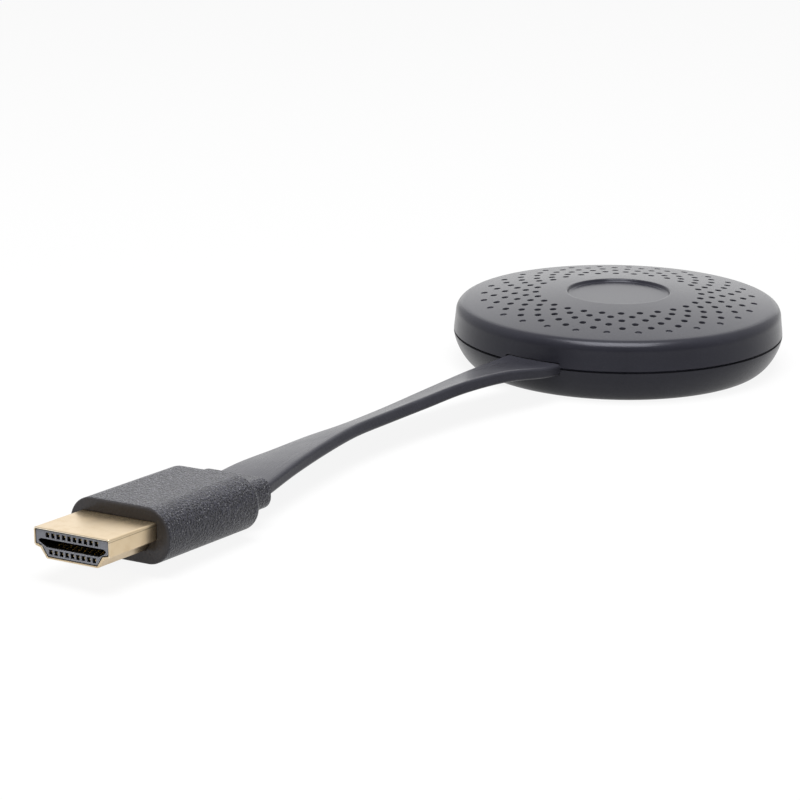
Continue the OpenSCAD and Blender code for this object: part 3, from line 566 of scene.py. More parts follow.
@dataclass(frozen=True)
class BareSheet(Finish):
    """Bare or tinned sheet metal and solder: fine rolling lines, dull patches and handling marks."""

    roughness: float = 0.32
    patch: float = 2.5

    def paint(self, tree: FinishTree) -> bpy.types.Material:
        """Builds rolling lines, dull patches and small scratches.

        Args:
            tree: The empty material.

        Returns:
            The finished material.
        """
        lines = tree.noise(0.06 * MM, 2.0, 0.6, tree.stretched((1.0, 0.05, 1.0)))
        scratch = tree.noise(0.12 * MM, 1.0, 0.5, tree.stretched((0.08, 1.0, 0.3)))
        cloud = tree.noise(self.patch, 4.0, 0.6)
        marks = tree.span(scratch, 0.68, 0.74)
        shade = tree.mix(tree.span(cloud, 0.35, 0.7), self.colour, self.tint(0.78))
        shade = tree.mix(marks * 0.3, shade, RUBBED)
        rough = self.roughness + 0.25 * (cloud - 0.5) + 0.12 * (lines - 0.5)
        return tree.surface(
            Base_Color=shade, Metallic=1.0, Roughness=rough, Normal=tree.bump(lines + 0.5 * marks, 0.006)
        )


@dataclass(frozen=True)
class SolderMask(Finish):
    """Circuit board: clear-coated mask over copper tracks, with bare laminate at the cut edges."""

    track: Colour = (0.03, 0.16, 0.07)
    edge: Colour = (0.42, 0.36, 0.18)
    via: Colour = (0.55, 0.42, 0.2)
    top_z: float = 4.6
    thickness: float = 1.0

    def paint(self, tree: FinishTree) -> bpy.types.Material:
        """Builds tracks, vias and the cut edge.

        Args:
            tree: The empty material.

        Returns:
            The finished material.
        """
        bricks = tree.node(
            "ShaderNodeTexBrick",
            {"offset": 0.5},
            {"Vector": tree.place(), "Scale": 1 / (9 * MM), "Mortar Size": 0.03, "Mortar Smooth": 0.2},
            "Fac",
        )
        lanes = tree.noise(0.5 * MM, 0.0, 0.0, tree.stretched((1.0, 0.15, 1.0)))
        tracks = tree.maths("MAXIMUM", bricks, tree.span(lanes, 0.56, 0.6))
        vias = tree.span(tree.cells(1.7, 0.9), 0.08, 0.16, 1.0, 0.0)
        shade = tree.mix(tracks * 0.7, self.colour, self.track)
        shade = tree.mix(vias * 0.8, shade, self.via)
        _, _, up = tree.parts_of(tree.place())
        middle = (self.top_z - self.thickness / 2) * MM
        cut = tree.span(abs(up - middle), self.thickness * 0.46 * MM, self.thickness * 0.49 * MM, 1.0, 0.0)
        weave = tree.noise(0.3, 2.0, 0.6)
        shade = tree.mix(cut, shade, tree.mix(weave, self.edge, tuple(c * 0.7 for c in self.edge)))
        return tree.surface(
            Base_Color=shade,
            Roughness=0.3 + 0.35 * cut + 0.1 * (weave - 0.5),
            Coat_Weight=0.4 - 0.4 * cut,
            Normal=tree.bump(tracks * 0.7 + vias * 0.3, 0.02),
        )


@dataclass(frozen=True)
class MattResin(Finish):
    """Chip resin, ferrite and fired ceramic: dull and slightly gritty, with paler worn edges."""

    grit: float = 0.12
    roughness: float = 0.6

    def paint(self, tree: FinishTree) -> bpy.types.Material:
        """Builds grit, faint mottling and edges.

        Args:
            tree: The empty material.

        Returns:
            The finished material.
        """
        grit = tree.noise(self.grit, 3.0, 0.7)
        mottle = tree.noise(1.6, 3.0, 0.6)
        shade = self.mottled(tree, mottle, 0.85, 1.2)
        shade = tree.mix(tree.span(grit, 0.62, 0.75) * 0.2, shade, self.tint(1.5, 0.1))
        shade = tree.mix(tree.edges() * 0.3, shade, self.tint(1.3, 0.05))
        return tree.surface(
            Base_Color=shade, Roughness=self.roughness + 0.2 * (grit - 0.5), Normal=tree.bump(grit, 0.01)
        )


@dataclass(frozen=True)
class SoftPolymer(Finish):
    """Waxy, rubbery or clear resin: soft mottling and a smooth skin."""

    roughness: float = 0.4
    waxy: float = 0.15
    glow: float = 0.0

    def paint(self, tree: FinishTree) -> bpy.types.Material:
        """Builds mottling, flow lines and small dents.

        Args:
            tree: The empty material.

        Returns:
            The finished material.
        """
        mottle = tree.noise(1.1, 4.0, 0.55)
        flow = tree.noise(0.5 * MM, 3.0, 0.6, tree.stretched((1.0, 0.2, 1.0)))
        shade = self.mottled(tree, mottle, 0.88, 1.06)
        shade = tree.mix(tree.span(flow, 0.55, 0.75) * 0.15, shade, self.tint(0.7))
        return tree.surface(
            Base_Color=shade,
            Roughness=self.roughness + 0.2 * (flow - 0.5),
            Subsurface_Weight=self.waxy,
            Subsurface_Radius=(MM, MM, MM),
            Emission_Color=self.colour,
            Emission_Strength=self.glow,
            Normal=tree.bump(0.6 * mottle + 0.4 * flow, 0.012),
        )


CASE_TOP = SparkedPlastic("case_top_texture", Slot.CASE, srgb("2a2a32"), grain=0.14, depth=0.006,
                          roughness=0.24, gloss=0.28, painted_glint=0.1, polished_r=8.9)
CASE_BASE = SparkedPlastic("case_base_texture", Slot.CASE, srgb("2f2f36"), grain=0.14, depth=0.006,
                           roughness=0.27, gloss=0.24, painted_glint=0.1)
MOULD = SparkedPlastic("mould_grain", Slot.MOULD, srgb("24242b"), grain=0.38, depth=0.24, roughness=0.3,
                       gloss=0.38, painted_glint=0.95, cloud=0.1, painted_grain_shading=0.97, bare_front_painted_light=True)
ANCHOR = SparkedPlastic("anchor_plastic", Slot.MOULD, srgb("26262a"), grain=0.2, depth=0.01, roughness=0.5)
BUTTON = SparkedPlastic("button_satin", Slot.BUTTON, srgb("2f2f35"), grain=0.1, depth=0.006, roughness=0.38)
SWITCH = SparkedPlastic("switch_plastic", Slot.CHIP, srgb("202024"), grain=0.15, depth=0.008, roughness=0.45)
JACKET = DrawnJacket("cable_jacket", Slot.CABLE, srgb("37373e"), roughness=0.3)
INSULATOR = SparkedPlastic("insulator_moulding", Slot.INSULATOR, srgb("a2a4ac"), grain=0.1, depth=0.006,
                           roughness=0.42, gloss=0.4, painted_glint=0.1,
                           front=(-1.207, -149.594, 6.115), inward=(-0.00902, 0.99941, -0.03312))
GOLD = PlatedSheet("shell_gold", Slot.GOLD, srgb("d4c0a0"), roughness=0.34, stain_and_mould_reflection=True, seam=True)
CONTACT = PlatedSheet("contact_gold", Slot.CONTACT, srgb("e4be7c"), roughness=0.5)
TIN = BareSheet("tinned_sheet", Slot.TIN, srgb("c9cbcf"))
SOLDER = BareSheet("solder", Slot.TIN, srgb("bfc1c4"), roughness=0.26, patch=0.8)
SPREADER = BareSheet("spreader_sheet", Slot.SPREADER, srgb("d2d4d6"), roughness=0.38, patch=5.0)
SCREW = BareSheet("screw_steel", Slot.TIN, srgb("b4b4b8"), roughness=0.3, patch=1.2)
BOARD = SolderMask("board_mask", Slot.BOARD, srgb("1c4f35"))
MODULE = SolderMask("module_mask", Slot.MODULE, srgb("1d2a5a"), track=srgb("162050"),
                    top_z=5.2, thickness=0.6)
CHIP = MattResin("chip_resin", Slot.CHIP, srgb("26262a"))
FERRITE = MattResin("ferrite_core", Slot.FERRITE, srgb("4a4a4f"), grit=0.2, roughness=0.7)
CERAMIC = MattResin("ceramic_body", Slot.CERAMIC, srgb("c2a684"), grit=0.1, roughness=0.45)
RESISTOR = MattResin("resistor_body", Slot.CHIP, srgb("1c1c1f"), grit=0.08, roughness=0.4)
TONGUE = MattResin("socket_tongue_resin", Slot.CHIP, srgb("1d1d20"), grit=0.1, roughness=0.5)
PAD = SoftPolymer("thermal_pad_rubber", Slot.PAD, srgb("8d98ab"), roughness=0.6, waxy=0.1)
LED = SoftPolymer("led_resin", Slot.LED, srgb("e8efe8"), roughness=0.15, waxy=0.3, glow=0.15)
PLUNGER = SoftPolymer("plunger_plastic", Slot.PLUNGER, srgb("dcdcd4"), roughness=0.35, waxy=0.1)
INNER = SoftPolymer("inner_polyethylene", Slot.INNER, srgb("dedfd8"), roughness=0.35, waxy=0.3)
WIRE = SoftPolymer("wire_insulation", Slot.WIRE, srgb("bdbdb9"), roughness=0.35, waxy=0.1)
ANTENNA = SoftPolymer("antenna_film", Slot.ANTENNA, srgb("b5763a"), roughness=0.25, waxy=0.05)
LEAD = SoftPolymer("antenna_lead_jacket", Slot.WIRE, srgb("2a2a2e"), roughness=0.35, waxy=0.05)

CARRIED: dict[str, Finish] = {
    "heat_spreader": SPREADER,
    "thermal_pad": PAD,
    "plate_screws": SCREW,
    "main_board": BOARD,
    "processor": CHIP,
    "memory_chips": CHIP,
    "flash_chip": CHIP,
    "power_chip": CHIP,
    "wireless_board": MODULE,
    "wireless_shield": TIN,
    "crystals": TIN,
    "inductors": FERRITE,
    "capacitors": CERAMIC,
    "resistors": RESISTOR,
    "status_led": LED,
    "antenna_strip": ANTENNA,
    "antenna_lead": LEAD,
    "antenna_connector": CONTACT,
    "socket_shell": TIN,
    "socket_tongue": TONGUE,
    "socket_contacts": CONTACT,
    "switch_body": SWITCH,
    "switch_plunger": PLUNGER,
    "mode_button": BUTTON,
    "cable_anchor": ANCHOR,
    "cable_wires": WIRE,
    "solder_joints": SOLDER,
    "plug_cable_end": ANCHOR,
    "crimp_ferrule": TIN,
    "rear_shield": TIN,
    "inner_mould": INNER,
    "plug_wires": WIRE,
    "plug_insulator": INSULATOR,
    "upper_contacts": CONTACT,
    "lower_contacts": CONTACT,
}


# -------------------------------------------------------------------------------- outlines


def rounded(corners: Sequence[Flat], radius: float, steps: int) -> list[Flat]:
    """Rounds the corners of a closed outline.

    Args:
        corners: The outline's corners.
        radius: Radius of each corner, made smaller where the sides are short.
        steps: Segments of each rounded corner.

    Returns:
        The rounded outline.
    """
    made: list[Flat] = []
    for i, corner in enumerate(corners):
        here = Vector(corner)
        back = Vector(corners[i - 1]) - here
        ahead = Vector(corners[(i + 1) % len(corners)]) - here
        half = back.angle(ahead) / 2
        reach = min(radius / math.tan(half), 0.48 * back.length, 0.48 * ahead.length)
        bent = reach * math.tan(half)
        middle = here + (back.normalized() + ahead.normalized()).normalized() * (bent / math.sin(half))
        first = here + back.normalized() * reach - middle
        last = here + ahead.normalized() * reach - middle
        turn = first.angle_signed(last) * -1
        for k in range(steps + 1):
            a = turn * k / steps
            c, s = math.cos(a), math.sin(a)
            made.append((middle.x + first.x * c - first.y * s, middle.y + first.x * s + first.y * c))
    return made


def box_outline(width: float, height: float, radius: float, steps: int = 8) -> list[Flat]:
    """Rectangle about the origin with rounded corners."""
    w, h = width / 2, height / 2
    return rounded([(w, h), (-w, h), (-w, -h), (w, -h)], radius, steps)


def seen_from_middle(outline: Sequence[Flat], angles: Iterable[float]) -> list[Flat]:
    """Points of an outline in given directions from the origin.

    Args:
        outline: A closed outline round the origin.
        angles: Directions in radians.

    Returns:
        One point for each direction.
    """
    made = []
    for a in angles:
        ray = Vector((math.cos(a), math.sin(a)))
        best = 0.0
        for i, p in enumerate(outline):
            q = outline[(i + 1) % len(outline)]
            side = Vector((q[0] - p[0], q[1] - p[1]))
            cross = ray.x * side.y - ray.y * side.x
            if abs(cross) < 1e-12:
                continue
            reach = (p[0] * side.y - p[1] * side.x) / cross
            share = (p[0] * ray.y - p[1] * ray.x) / cross
            if reach > best and -1e-9 <= share <= 1 + 1e-9:
                best = reach
        made.append((ray.x * best, ray.y * best))
    return made


def arc_shares(steps: int) -> list[tuple[float, float]]:
    """Sine and one minus cosine over a quarter turn, without its start."""
    quarter = [math.pi / 2 * k / steps for k in range(1, steps + 1)]
    return [(math.sin(a), 1 - math.cos(a)) for a in quarter]


class Skin:
    """Collects the points and faces of one piece, in millimetres."""

    def __init__(self) -> None:
        """Starts an empty skin."""
        self.points: list[Vector] = []
        self.faces: list[list[int]] = []
        self.lay: dict[int, Flat] = {}

    def ring(self, points: Iterable[Sequence[float]]) -> list[int]:
        """Adds points.

        Args:
            points: Places in millimetres.

        Returns:
            Their numbers.
        """
        start = len(self.points)
        self.points.extend(Vector(p) for p in points)
        return list(range(start, len(self.points)))

    def middle(self, ring: Sequence[int]) -> Vector:
        """Mean place of a ring's points."""
        return sum((self.points[i] for i in ring), Vector()) / len(ring)

    def band(self, first: Sequence[int], second: Sequence[int]) -> None:
        """Joins two rings with four-sided faces.

        Args:
            first: Point numbers.
            second: As many point numbers.
        """
        for k in range(len(first)):
            n = (k + 1) % len(first)
            self.faces.append([first[k], first[n], second[n], second[k]])

    def loft(self, rings: Sequence[Sequence[int]]) -> None:
        """Joins rings one after the other."""
        for first, second in zip(rings, rings[1:]):
            self.band(first, second)

    def fan(self, ring: Sequence[int], centre: Sequence[float]) -> None:
        """Closes a ring with triangles that meet in a point.

        Args:
            ring: Point numbers.
            centre: Where they meet.
        """
        middle = self.ring([centre])[0]
        for k, p in enumerate(ring):
            self.faces.append([p, ring[(k + 1) % len(ring)], middle])

    def make(self, name: str, finish: Finish, sharp: float = 35.0) -> bpy.types.Object:
        """Turns the skin into an object with its finish.

        Args:
            name: The object's name.
            finish: Its finish.
            sharp: Angle in degrees from which an edge stays sharp.

        Returns:
            The object.
        """
        mesh = bpy.data.meshes.new(name)
        mesh.from_pydata([p * MM for p in self.points], [], self.faces)
        work = bmesh.new()
        work.from_mesh(mesh)
        if self.lay:
            layer = work.loops.layers.uv.new("lay")
            work.verts.ensure_lookup_table()
            for face in work.faces:
                for loop in face.loops:
                    loop[layer].uv = self.lay.get(loop.vert.index, (0.0, 0.0))
        bmesh.ops.recalc_face_normals(work, faces=work.faces)
        work.to_mesh(mesh)
        work.free()
        made = bpy.data.objects.new(name, mesh)
        bpy.context.scene.collection.objects.link(made)
        made.data.materials.append(finish.material())
        shade(made, sharp)
        return made


def shade(piece: bpy.types.Object, sharp: float) -> None:
    """Shades a piece smoothly between edges of sharp degrees or more."""
    piece.data.polygons.foreach_set("use_smooth", [True] * len(piece.data.polygons))
    piece.data.set_sharp_from_angle(angle=math.radians(sharp))


def stand_for(piece: bpy.types.Object, node: str) -> bpy.types.Object:
    """Makes a piece ride on the dongle in the place of a CAD node, and reports it.

    Args:
        piece: The piece.
        node: The node that it stands for.

    Returns:
        The piece.
    """
    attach(piece, Body.DONGLE.value)
    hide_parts(node)
    LOG.info("%s for %s: %d faces", piece.name, node, len(piece.data.polygons))
    return piece


def cut_away(piece: bpy.types.Object, cutters: Sequence[bpy.types.Object], sharp: float) -> None:
    """Cuts solids out of a piece and removes them.

    Args:
        piece: The object that is cut.
        cutters: Closed solids.
        sharp: Angle in degrees from which an edge stays sharp.
    """
    for cutter in cutters:
        modifier = piece.modifiers.new("cut", "BOOLEAN")
        modifier.operation = "DIFFERENCE"
        modifier.solver = "EXACT"
        modifier.object = cutter
    bpy.context.view_layer.update()
    cut = bpy.data.meshes.new_from_object(piece.evaluated_get(bpy.context.evaluated_depsgraph_get()))
    piece.modifiers.clear()
    cut.name = piece.data.name
    piece.data = cut
    shade(piece, sharp)
    for cutter in cutters:
        bpy.data.objects.remove(cutter)


# -------------------------------------------------------------------------------- camera and stage


@dataclass(frozen=True)
class SoftBox:
    """A square soft lamp: place, aim and side in metres, and power in watts."""

    name: str
    place: Place
    aim: Place
    side: float
    power: float

    def build(self) -> None:
        """Hangs the lamp."""
        data = bpy.data.lights.new(self.name, "AREA")
        data.shape = "SQUARE"
        data.size = self.side
        data.energy = self.power
        made = bpy.data.objects.new(self.name, data)
        made.location = self.place
        made.rotation_euler = (Vector(self.aim) - Vector(self.place)).to_track_quat("-Z", "Y").to_euler()
        bpy.context.scene.collection.objects.link(made)


@dataclass
class Studio:
    """Camera, lamps, white surroundings and floor."""

    eye: Place = (0.251896, -0.436298, 0.138536)
    right: Place = (0.823565, 0.567215, 0.002937)
    up: Place = (-0.160889, 0.228631, 0.960127)
    lens: float = 128.25
    sensor: float = 36.0
    clip: Flat = (0.01, 20.0)
    ambient: float = 0.112
    room_near: float = 0.2324
    room_far: float = 0.7748
    room_turn: Flat = (0.75, -0.15)
    floor_side: float = 4.0
    floor_z: float = -0.02
    floor_lit: Colour = (0.4, 0.4, 0.4)
    floor_seen: Colour = (0.92, 0.92, 0.92)
    over: SoftBox = SoftBox("soft_box_over", (0.07, -0.15, 0.58), (0.0, -0.05, 0.0), 0.4, 4.6)
    back: SoftBox = SoftBox("soft_box_back", (-0.58, 1.03, 0.56), (0.0, -0.03, 0.0), 1.2, 2.7)

    def camera(self) -> None:
        """Makes the camera at the photograph's viewing angle."""
        data = bpy.data.cameras.new("camera")
        data.lens = self.lens
        data.sensor_width = self.sensor
        data.clip_start, data.clip_end = self.clip
        made = bpy.data.objects.new("camera", data)
        right, up = Vector(self.right), Vector(self.up)
        turn = Matrix((right, up, right.cross(up))).transposed()
        made.matrix_world = Matrix.Translation(self.eye) @ turn.to_4x4()
        bpy.context.scene.collection.objects.link(made)
        bpy.context.scene.camera = made

    def surroundings(self) -> None:
        """Lights from all round, and shows white to the camera and, but for the room behind it, in gloss."""
        tree = FinishTree(bpy.data.worlds.new("studio"))
        bpy.context.scene.world = tree.owner
        behind = Vector((self.eye[0], self.eye[1], 0.0)).normalized()
        way = tree.node("ShaderNodeTexCoord", output="Generated")
        depth = tree.vector_maths("DOT_PRODUCT", way, behind, output="Value")
        room = tree.span(depth, *self.room_turn, self.room_near, self.room_far)
        seen = tree.maths("MAXIMUM", tree.ray("Is Camera Ray"), tree.ray("Is Transmission Ray"))
        shown = tree.maths("MAXIMUM", seen, tree.ray("Is Glossy Ray") * room)
        soft, white = (tree.node("ShaderNodeBackground", None, {"Color": WHITE, "Strength": strength})
                       for strength in (self.ambient, 1.0))
        both = tree.node("ShaderNodeMixShader", None, {0: shown, 1: soft, 2: white})
        tree.end(both, "ShaderNodeOutputWorld")

    def floor(self) -> None:
        """Makes the pale floor, which shows white to the camera and keeps the object's shadow."""
        tree = FinishTree(bpy.data.materials.new("floor_white"))
        seen = tree.ray("Is Camera Ray")
        mirrored = tree.maths("MAXIMUM", seen, tree.ray("Is Glossy Ray"))
        pale = tree.mix(mirrored, self.floor_lit, self.floor_seen)
        plain = tree.node("ShaderNodeBsdfDiffuse", None, {"Color": pale})
        bright = tree.node("ShaderNodeEmission", None, {"Color": WHITE, "Strength": 1.0})
        share = 0.75 * mirrored + 0.15 * seen
        tree.end(tree.node("ShaderNodeMixShader", None, {0: share, 1: plain, 2: bright}))
        half = self.floor_side / 2
        corners = [(x * half, y * half, self.floor_z * MM) for x, y in ((-1, -1), (1, -1), (1, 1), (-1, 1))]
        mesh = bpy.data.meshes.new("floor")
        mesh.from_pydata(corners, [], [range(len(corners))])
        mesh.materials.append(tree.owner)
        made = bpy.data.objects.new("floor", mesh)
        bpy.context.scene.collection.objects.link(made)

    def build(self) -> None:
        """Makes everything round the object except the camera."""
        bpy.context.scene.view_settings.view_transform = "Standard"
        self.surroundings()
        self.floor()
        for lamp in (self.over, self.back):
            lamp.build()
            LOG.info("lamp: %s, %.1f W", lamp.name, lamp.power)
        LOG.info("floor: %.1f m square", self.floor_side)


# -------------------------------------------------------------------------------- pieces


@dataclass
class Plug:
    """Video plug: grainy overmould with its collar, and the plated shell.

    Lengths run back from the overmould's front face. Names that end in _r are radii, and those that end in
    _rings or _columns say where rows of points lie.
    """

    place: Place = (-1.3, -139.3, 5.774)
    turn: float = 0.6
    pitch: float = 1.9
    roll: float = 2.5
    corner_steps: int = 14
    mould: Sizes = (18.3, 22.0, 8.5)
    mould_corner_r: float = 4.0
    mould_rings: tuple[float, ...] = (1.0, 4.0, 8.0, 12.0, 16.0)
    mould_columns: tuple[float, ...] = (-3.5, -1.2, 1.2, 3.5)
    mould_sharp: float = 40.0
    front_r: float = 0.3
    front_land: float = 0.25
    rear_r: float = 0.9
    rear_lead: float = 0.8
    collar: Sizes = (13.5, 5.9, 4.9)
    collar_corner_r: float = 2.0
    collar_rings: Flat = (1.5, 3.0)
    collar_end_r: float = 0.4
    collar_lead: float = 0.4
    collar_root_r: float = 0.35
    shell: Flat = (13.9, 4.45)
    shell_foot: float = 9.4
    shell_side: float = 2.7
    shell_step: float = 1.1
    sheet: float = 0.25
    shell_reach: float = 10.4
    shell_seat: float = 5.6
    shell_rings: tuple[float, ...] = (2.0, -1.0, -4.0, -7.0)
    shell_lip: float = 0.6
    shell_soft: float = 0.07
    shell_sharp: float = 50.0
    fold_r: float = 0.35
    inner_fold_r: float = 0.08
    hole_gap: float = 0.03
    hole_edge: float = 0.08
    cable_hole: Sizes = (11.06, 2.06, 0.6)
    cable_grip: float = 1.5

    def frame_matrix(self) -> Matrix:
        """Places the plug's own frame.

        Returns:
            Its matrix, in metres.
        """
        spin = Matrix.Translation(Vector(self.place) * MM)
        for degrees, about in ((self.turn, "Z"), (-self.roll, "Y"), (-self.pitch, "X")):
            spin = spin @ Matrix.Rotation(math.radians(degrees), 4, about)
        return spin

    def axis(self) -> Vector:
        """Direction from the collar to the plug's tip."""
        return self.frame_matrix().to_3x3() @ Vector((0, -1, 0))

    def collar_end(self) -> Vector:
        """Middle of the collar's end, where the cable goes in."""
        return Vector(self.place) - self.axis() * (self.mould[1] + self.collar[1])

    def shell_outline(self, inset: float, radius: float, steps: int = 6) -> list[Flat]:
        """Outline of the shell, moved in.

        Args:
            inset: How far it is moved in.
            radius: Radius of its folds.
            steps: Segments of each fold.

        Returns:
            The outline.
        """
        w, top = self.shell[0] / 2 - inset, self.shell[1] / 2 - inset
        foot = self.shell_foot / 2 - 0.6 * inset
        side = self.shell[1] / 2 - self.shell_side + inset
        step, bottom = w - self.shell_step, inset - self.shell[1] / 2
        half = [(w, top), (w, side), (step, side - self.sheet), (foot, bottom)]
        return rounded(half + [(-x, z) for x, z in reversed(half)], radius, steps)

    def directions(self) -> list[float]:
        """Directions in which the overmould's rings have their points, closest at its corners.

        Returns:
            Angles in radians, in rising order.
        """
        width, _, height = self.mould
        points = box_outline(width, height, self.mould_corner_r, self.corner_steps)
        points += [(x, z) for z in (height / 2, -height / 2) for x in self.mould_columns]
        return sorted({round(math.atan2(z, x), 5) for x, z in points})

    def overmould(self) -> bpy.types.Object:
        """Makes the overmould with its front face, rounded rear and collar.

        Returns:
            The overmould.
        """
        skin, angles, rings = Skin(), self.directions(), []
        width, length, height = self.mould
        wide, long, high = self.collar

        def add(outline: Sequence[Flat], y: float) -> None:
            """Adds the ring of an outline at a place along the plug."""
            rings.append(skin.ring((x, y, z) for x, z in seen_from_middle(outline, angles)))

        def body(inset: float) -> list[Flat]:
            """Outline of the block, moved in."""
            corner_r = self.mould_corner_r - inset
            return box_outline(width - 2 * inset, height - 2 * inset, corner_r, self.corner_steps)

        def neck(inset: float) -> list[Flat]:
            """Outline of the collar, moved in."""
            corner_r = self.collar_corner_r - inset
            return box_outline(wide - 2 * inset, high - 2 * inset, corner_r, self.corner_steps)

        hole = self.shell_outline(-self.hole_gap, self.fold_r)
        add(hole, self.shell_seat)
        add(hole, self.hole_edge)
        add(self.shell_outline(-self.hole_gap - self.hole_edge, self.fold_r), 0.0)
        add(body(self.front_r + self.front_land), 0.0)
        add(body(self.front_r), 0.0)
        for s, c in arc_shares(5):
            add(body(self.front_r * (1 - s)), self.front_r * c)
        for y in (*self.mould_rings, length - self.rear_r - self.rear_lead, length - self.rear_r):
            add(body(0.0), y)
        for s, c in arc_shares(8):
            add(body(self.rear_r * c), length - self.rear_r * (1 - s))
        for s, c in arc_shares(4):
            add(neck(-self.collar_root_r * (1 - s)), length + self.collar_root_r * c)
        end = length + long
        straight = [length + y for y in self.collar_rings]
        for y in (*straight, end - self.collar_end_r - self.collar_lead, end - self.collar_end_r):
            add(neck(0.0), y)
        for s, c in arc_shares(5):
            add(neck(self.collar_end_r * c), end - self.collar_end_r * (1 - s))
        cable = box_outline(*self.cable_hole, 6)
        add(cable, end)
        add(cable, end - self.cable_grip)
        skin.loft(rings)
        made = skin.make("plug_overmould_grained", MOULD, self.mould_sharp)
        made.matrix_world = self.frame_matrix()
        return stand_for(made, "plug_overmould")

    def folded_shell(self) -> bpy.types.Object:
        """Makes the shell of folded sheet, open at the front, with a softened front edge.

        Returns:
            The shell.
        """
        skin, rings = Skin(), []
        soft, tip = self.shell_soft, -self.shell_reach

        def add(inset: float, y: float) -> None:
            """Adds the ring of the shell's outline, moved in, at a place along the plug."""
            outline = self.shell_outline(inset, max(self.inner_fold_r, self.fold_r - inset))
            rings.append(skin.ring((x, y, z) for x, z in outline))

        for y in (self.shell_seat, *self.shell_rings, tip + self.shell_lip, tip + soft):
            add(0.0, y)
        for s, c in arc_shares(3):
            add(soft * c, tip + soft * (1 - s))
        add(self.sheet - soft, tip)
        for s, c in arc_shares(3):
            add(self.sheet - soft * (1 - s), tip + soft * c)
        for y in (tip + 1.0, 0.0, self.shell_seat):
            add(self.sheet, y)
        skin.loft(rings)
        skin.band(rings[-1], rings[0])
        made = skin.make("plug_shell_folded", GOLD, self.shell_sharp)
        made.matrix_world = self.frame_matrix()
        return stand_for(made, "plug_shell")

    def build(self) -> list[bpy.types.Object]:
        """Makes the overmould and the shell."""
        return [self.overmould(), self.folded_shell()]


@dataclass
class FlatCable:
    """Short flat cable that lies free between the case and the plug."""

    width: float = 11.0
    thickness: float = 2.0
    corner_r: float = 0.6
    corner_steps: int = 6
    section_points: int = 96
    steps_per_leg: int = 12
    path_per_leg: int = 3
    sharp: float = 50.0
    plug: Plug = field(default_factory=Plug)
    route: tuple[tuple[float, float, float, float], ...] = (
        (0.0, -25.37, 5.8, 0.0),
        (0.0, -30.37, 5.8, 0.0),
        (-2.4, -40.0, 5.75, 12.0),
        (-4.5, -50.0, 5.1, 19.5),
        (-5.9, -60.0, 4.3, 22.0),
        (-6.6, -70.0, 4.0, 22.5),
        (-6.5, -80.0, 4.25, 20.5),
        (-5.4, -90.0, 4.5, 16.0),
        (-3.7, -101.0, 4.8, 8.5),
    )
    on_it: tuple[str, ...] = (
        "plug_insulator", "upper_contacts", "lower_contacts", "rear_shield", "inner_mould", "plug_wires",
        "crimp_ferrule", "plug_cable_end",
    )

    def knots(self) -> list[Vector]:
        """Route points with the twist as a fourth number, to the plug's collar."""
        return [Vector(p) for p in self.route] + [Vector((*self.plug.collar_end(), self.plug.roll))]

    def line(self, steps: int) -> list[Vector]:
        """Smooth line through the route.

        Args:
            steps: Points for each stretch between two route points.

        Returns:
            Places with their twist in degrees.
        """
        p = self.knots()
        made = []
        for i in range(len(p) - 1):
            a, b, c, d = p[max(i - 1, 0)], p[i], p[i + 1], p[min(i + 2, len(p) - 1)]
            for k in range(steps):
                t = k / steps
                square = (2 * a - 5 * b + 4 * c - d) * t**2
                cube = (3 * b - a - 3 * c + d) * t**3
                made.append(0.5 * (2 * b + (c - a) * t + square + cube))
        return made + [p[-1]]

    def section(self) -> list[Flat]:
        """Outline across the cable, with points along its flat faces.

        Returns:
            The outline.
        """
        corners = box_outline(self.width, self.thickness, self.corner_r, self.corner_steps)
        turns = (2 * math.pi * k / self.section_points for k in range(self.section_points))
        angles = [math.atan2(math.sin(a) * self.thickness, math.cos(a) * self.width) for a in turns]
        return seen_from_middle(corners, angles)

    def build(self) -> bpy.types.Object:
        """Returns:
            The cable.
        """
        skin = Skin()
        points = self.line(self.steps_per_leg)
        ends = {0: Vector((0, -1, 0)), len(points) - 1: self.plug.axis()}
        rings, gone = [], 0.0
        outline = self.section()
        for i, p in enumerate(points):
            before, after = points[max(i - 1, 0)].to_3d(), points[min(i + 1, len(points) - 1)].to_3d()
            heading = ends.get(i, (after - before).normalized())
            side = Vector((0, 0, 1)).cross(heading).normalized()
            up = heading.cross(side)
            twist = math.radians(p[3])
            s = side * math.cos(twist) + up * math.sin(twist)
            u = up * math.cos(twist) - side * math.sin(twist)
            gone += (p.to_3d() - points[i - 1].to_3d()).length if i else 0.0
            ring = skin.ring(p.to_3d() + s * q[0] + u * q[1] for q in outline)
            skin.lay.update({n: (gone, q[0]) for n, q in zip(ring, outline)})
            rings.append(ring)
        skin.loft(rings)
        for end in (0, -1):
            skin.fan(rings[end], points[end].to_3d())
        made = stand_for(skin.make("cable_jacket", JACKET, self.sharp), "flat_cable")
        path = [p.to_3d() * MM for p in self.line(self.path_per_leg)]
        length = sum((b - a).length for a, b in zip(path, path[1:]))
        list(self.plug.build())
        LOG.info("cable: %.1f mm long", length / MM)
        return made


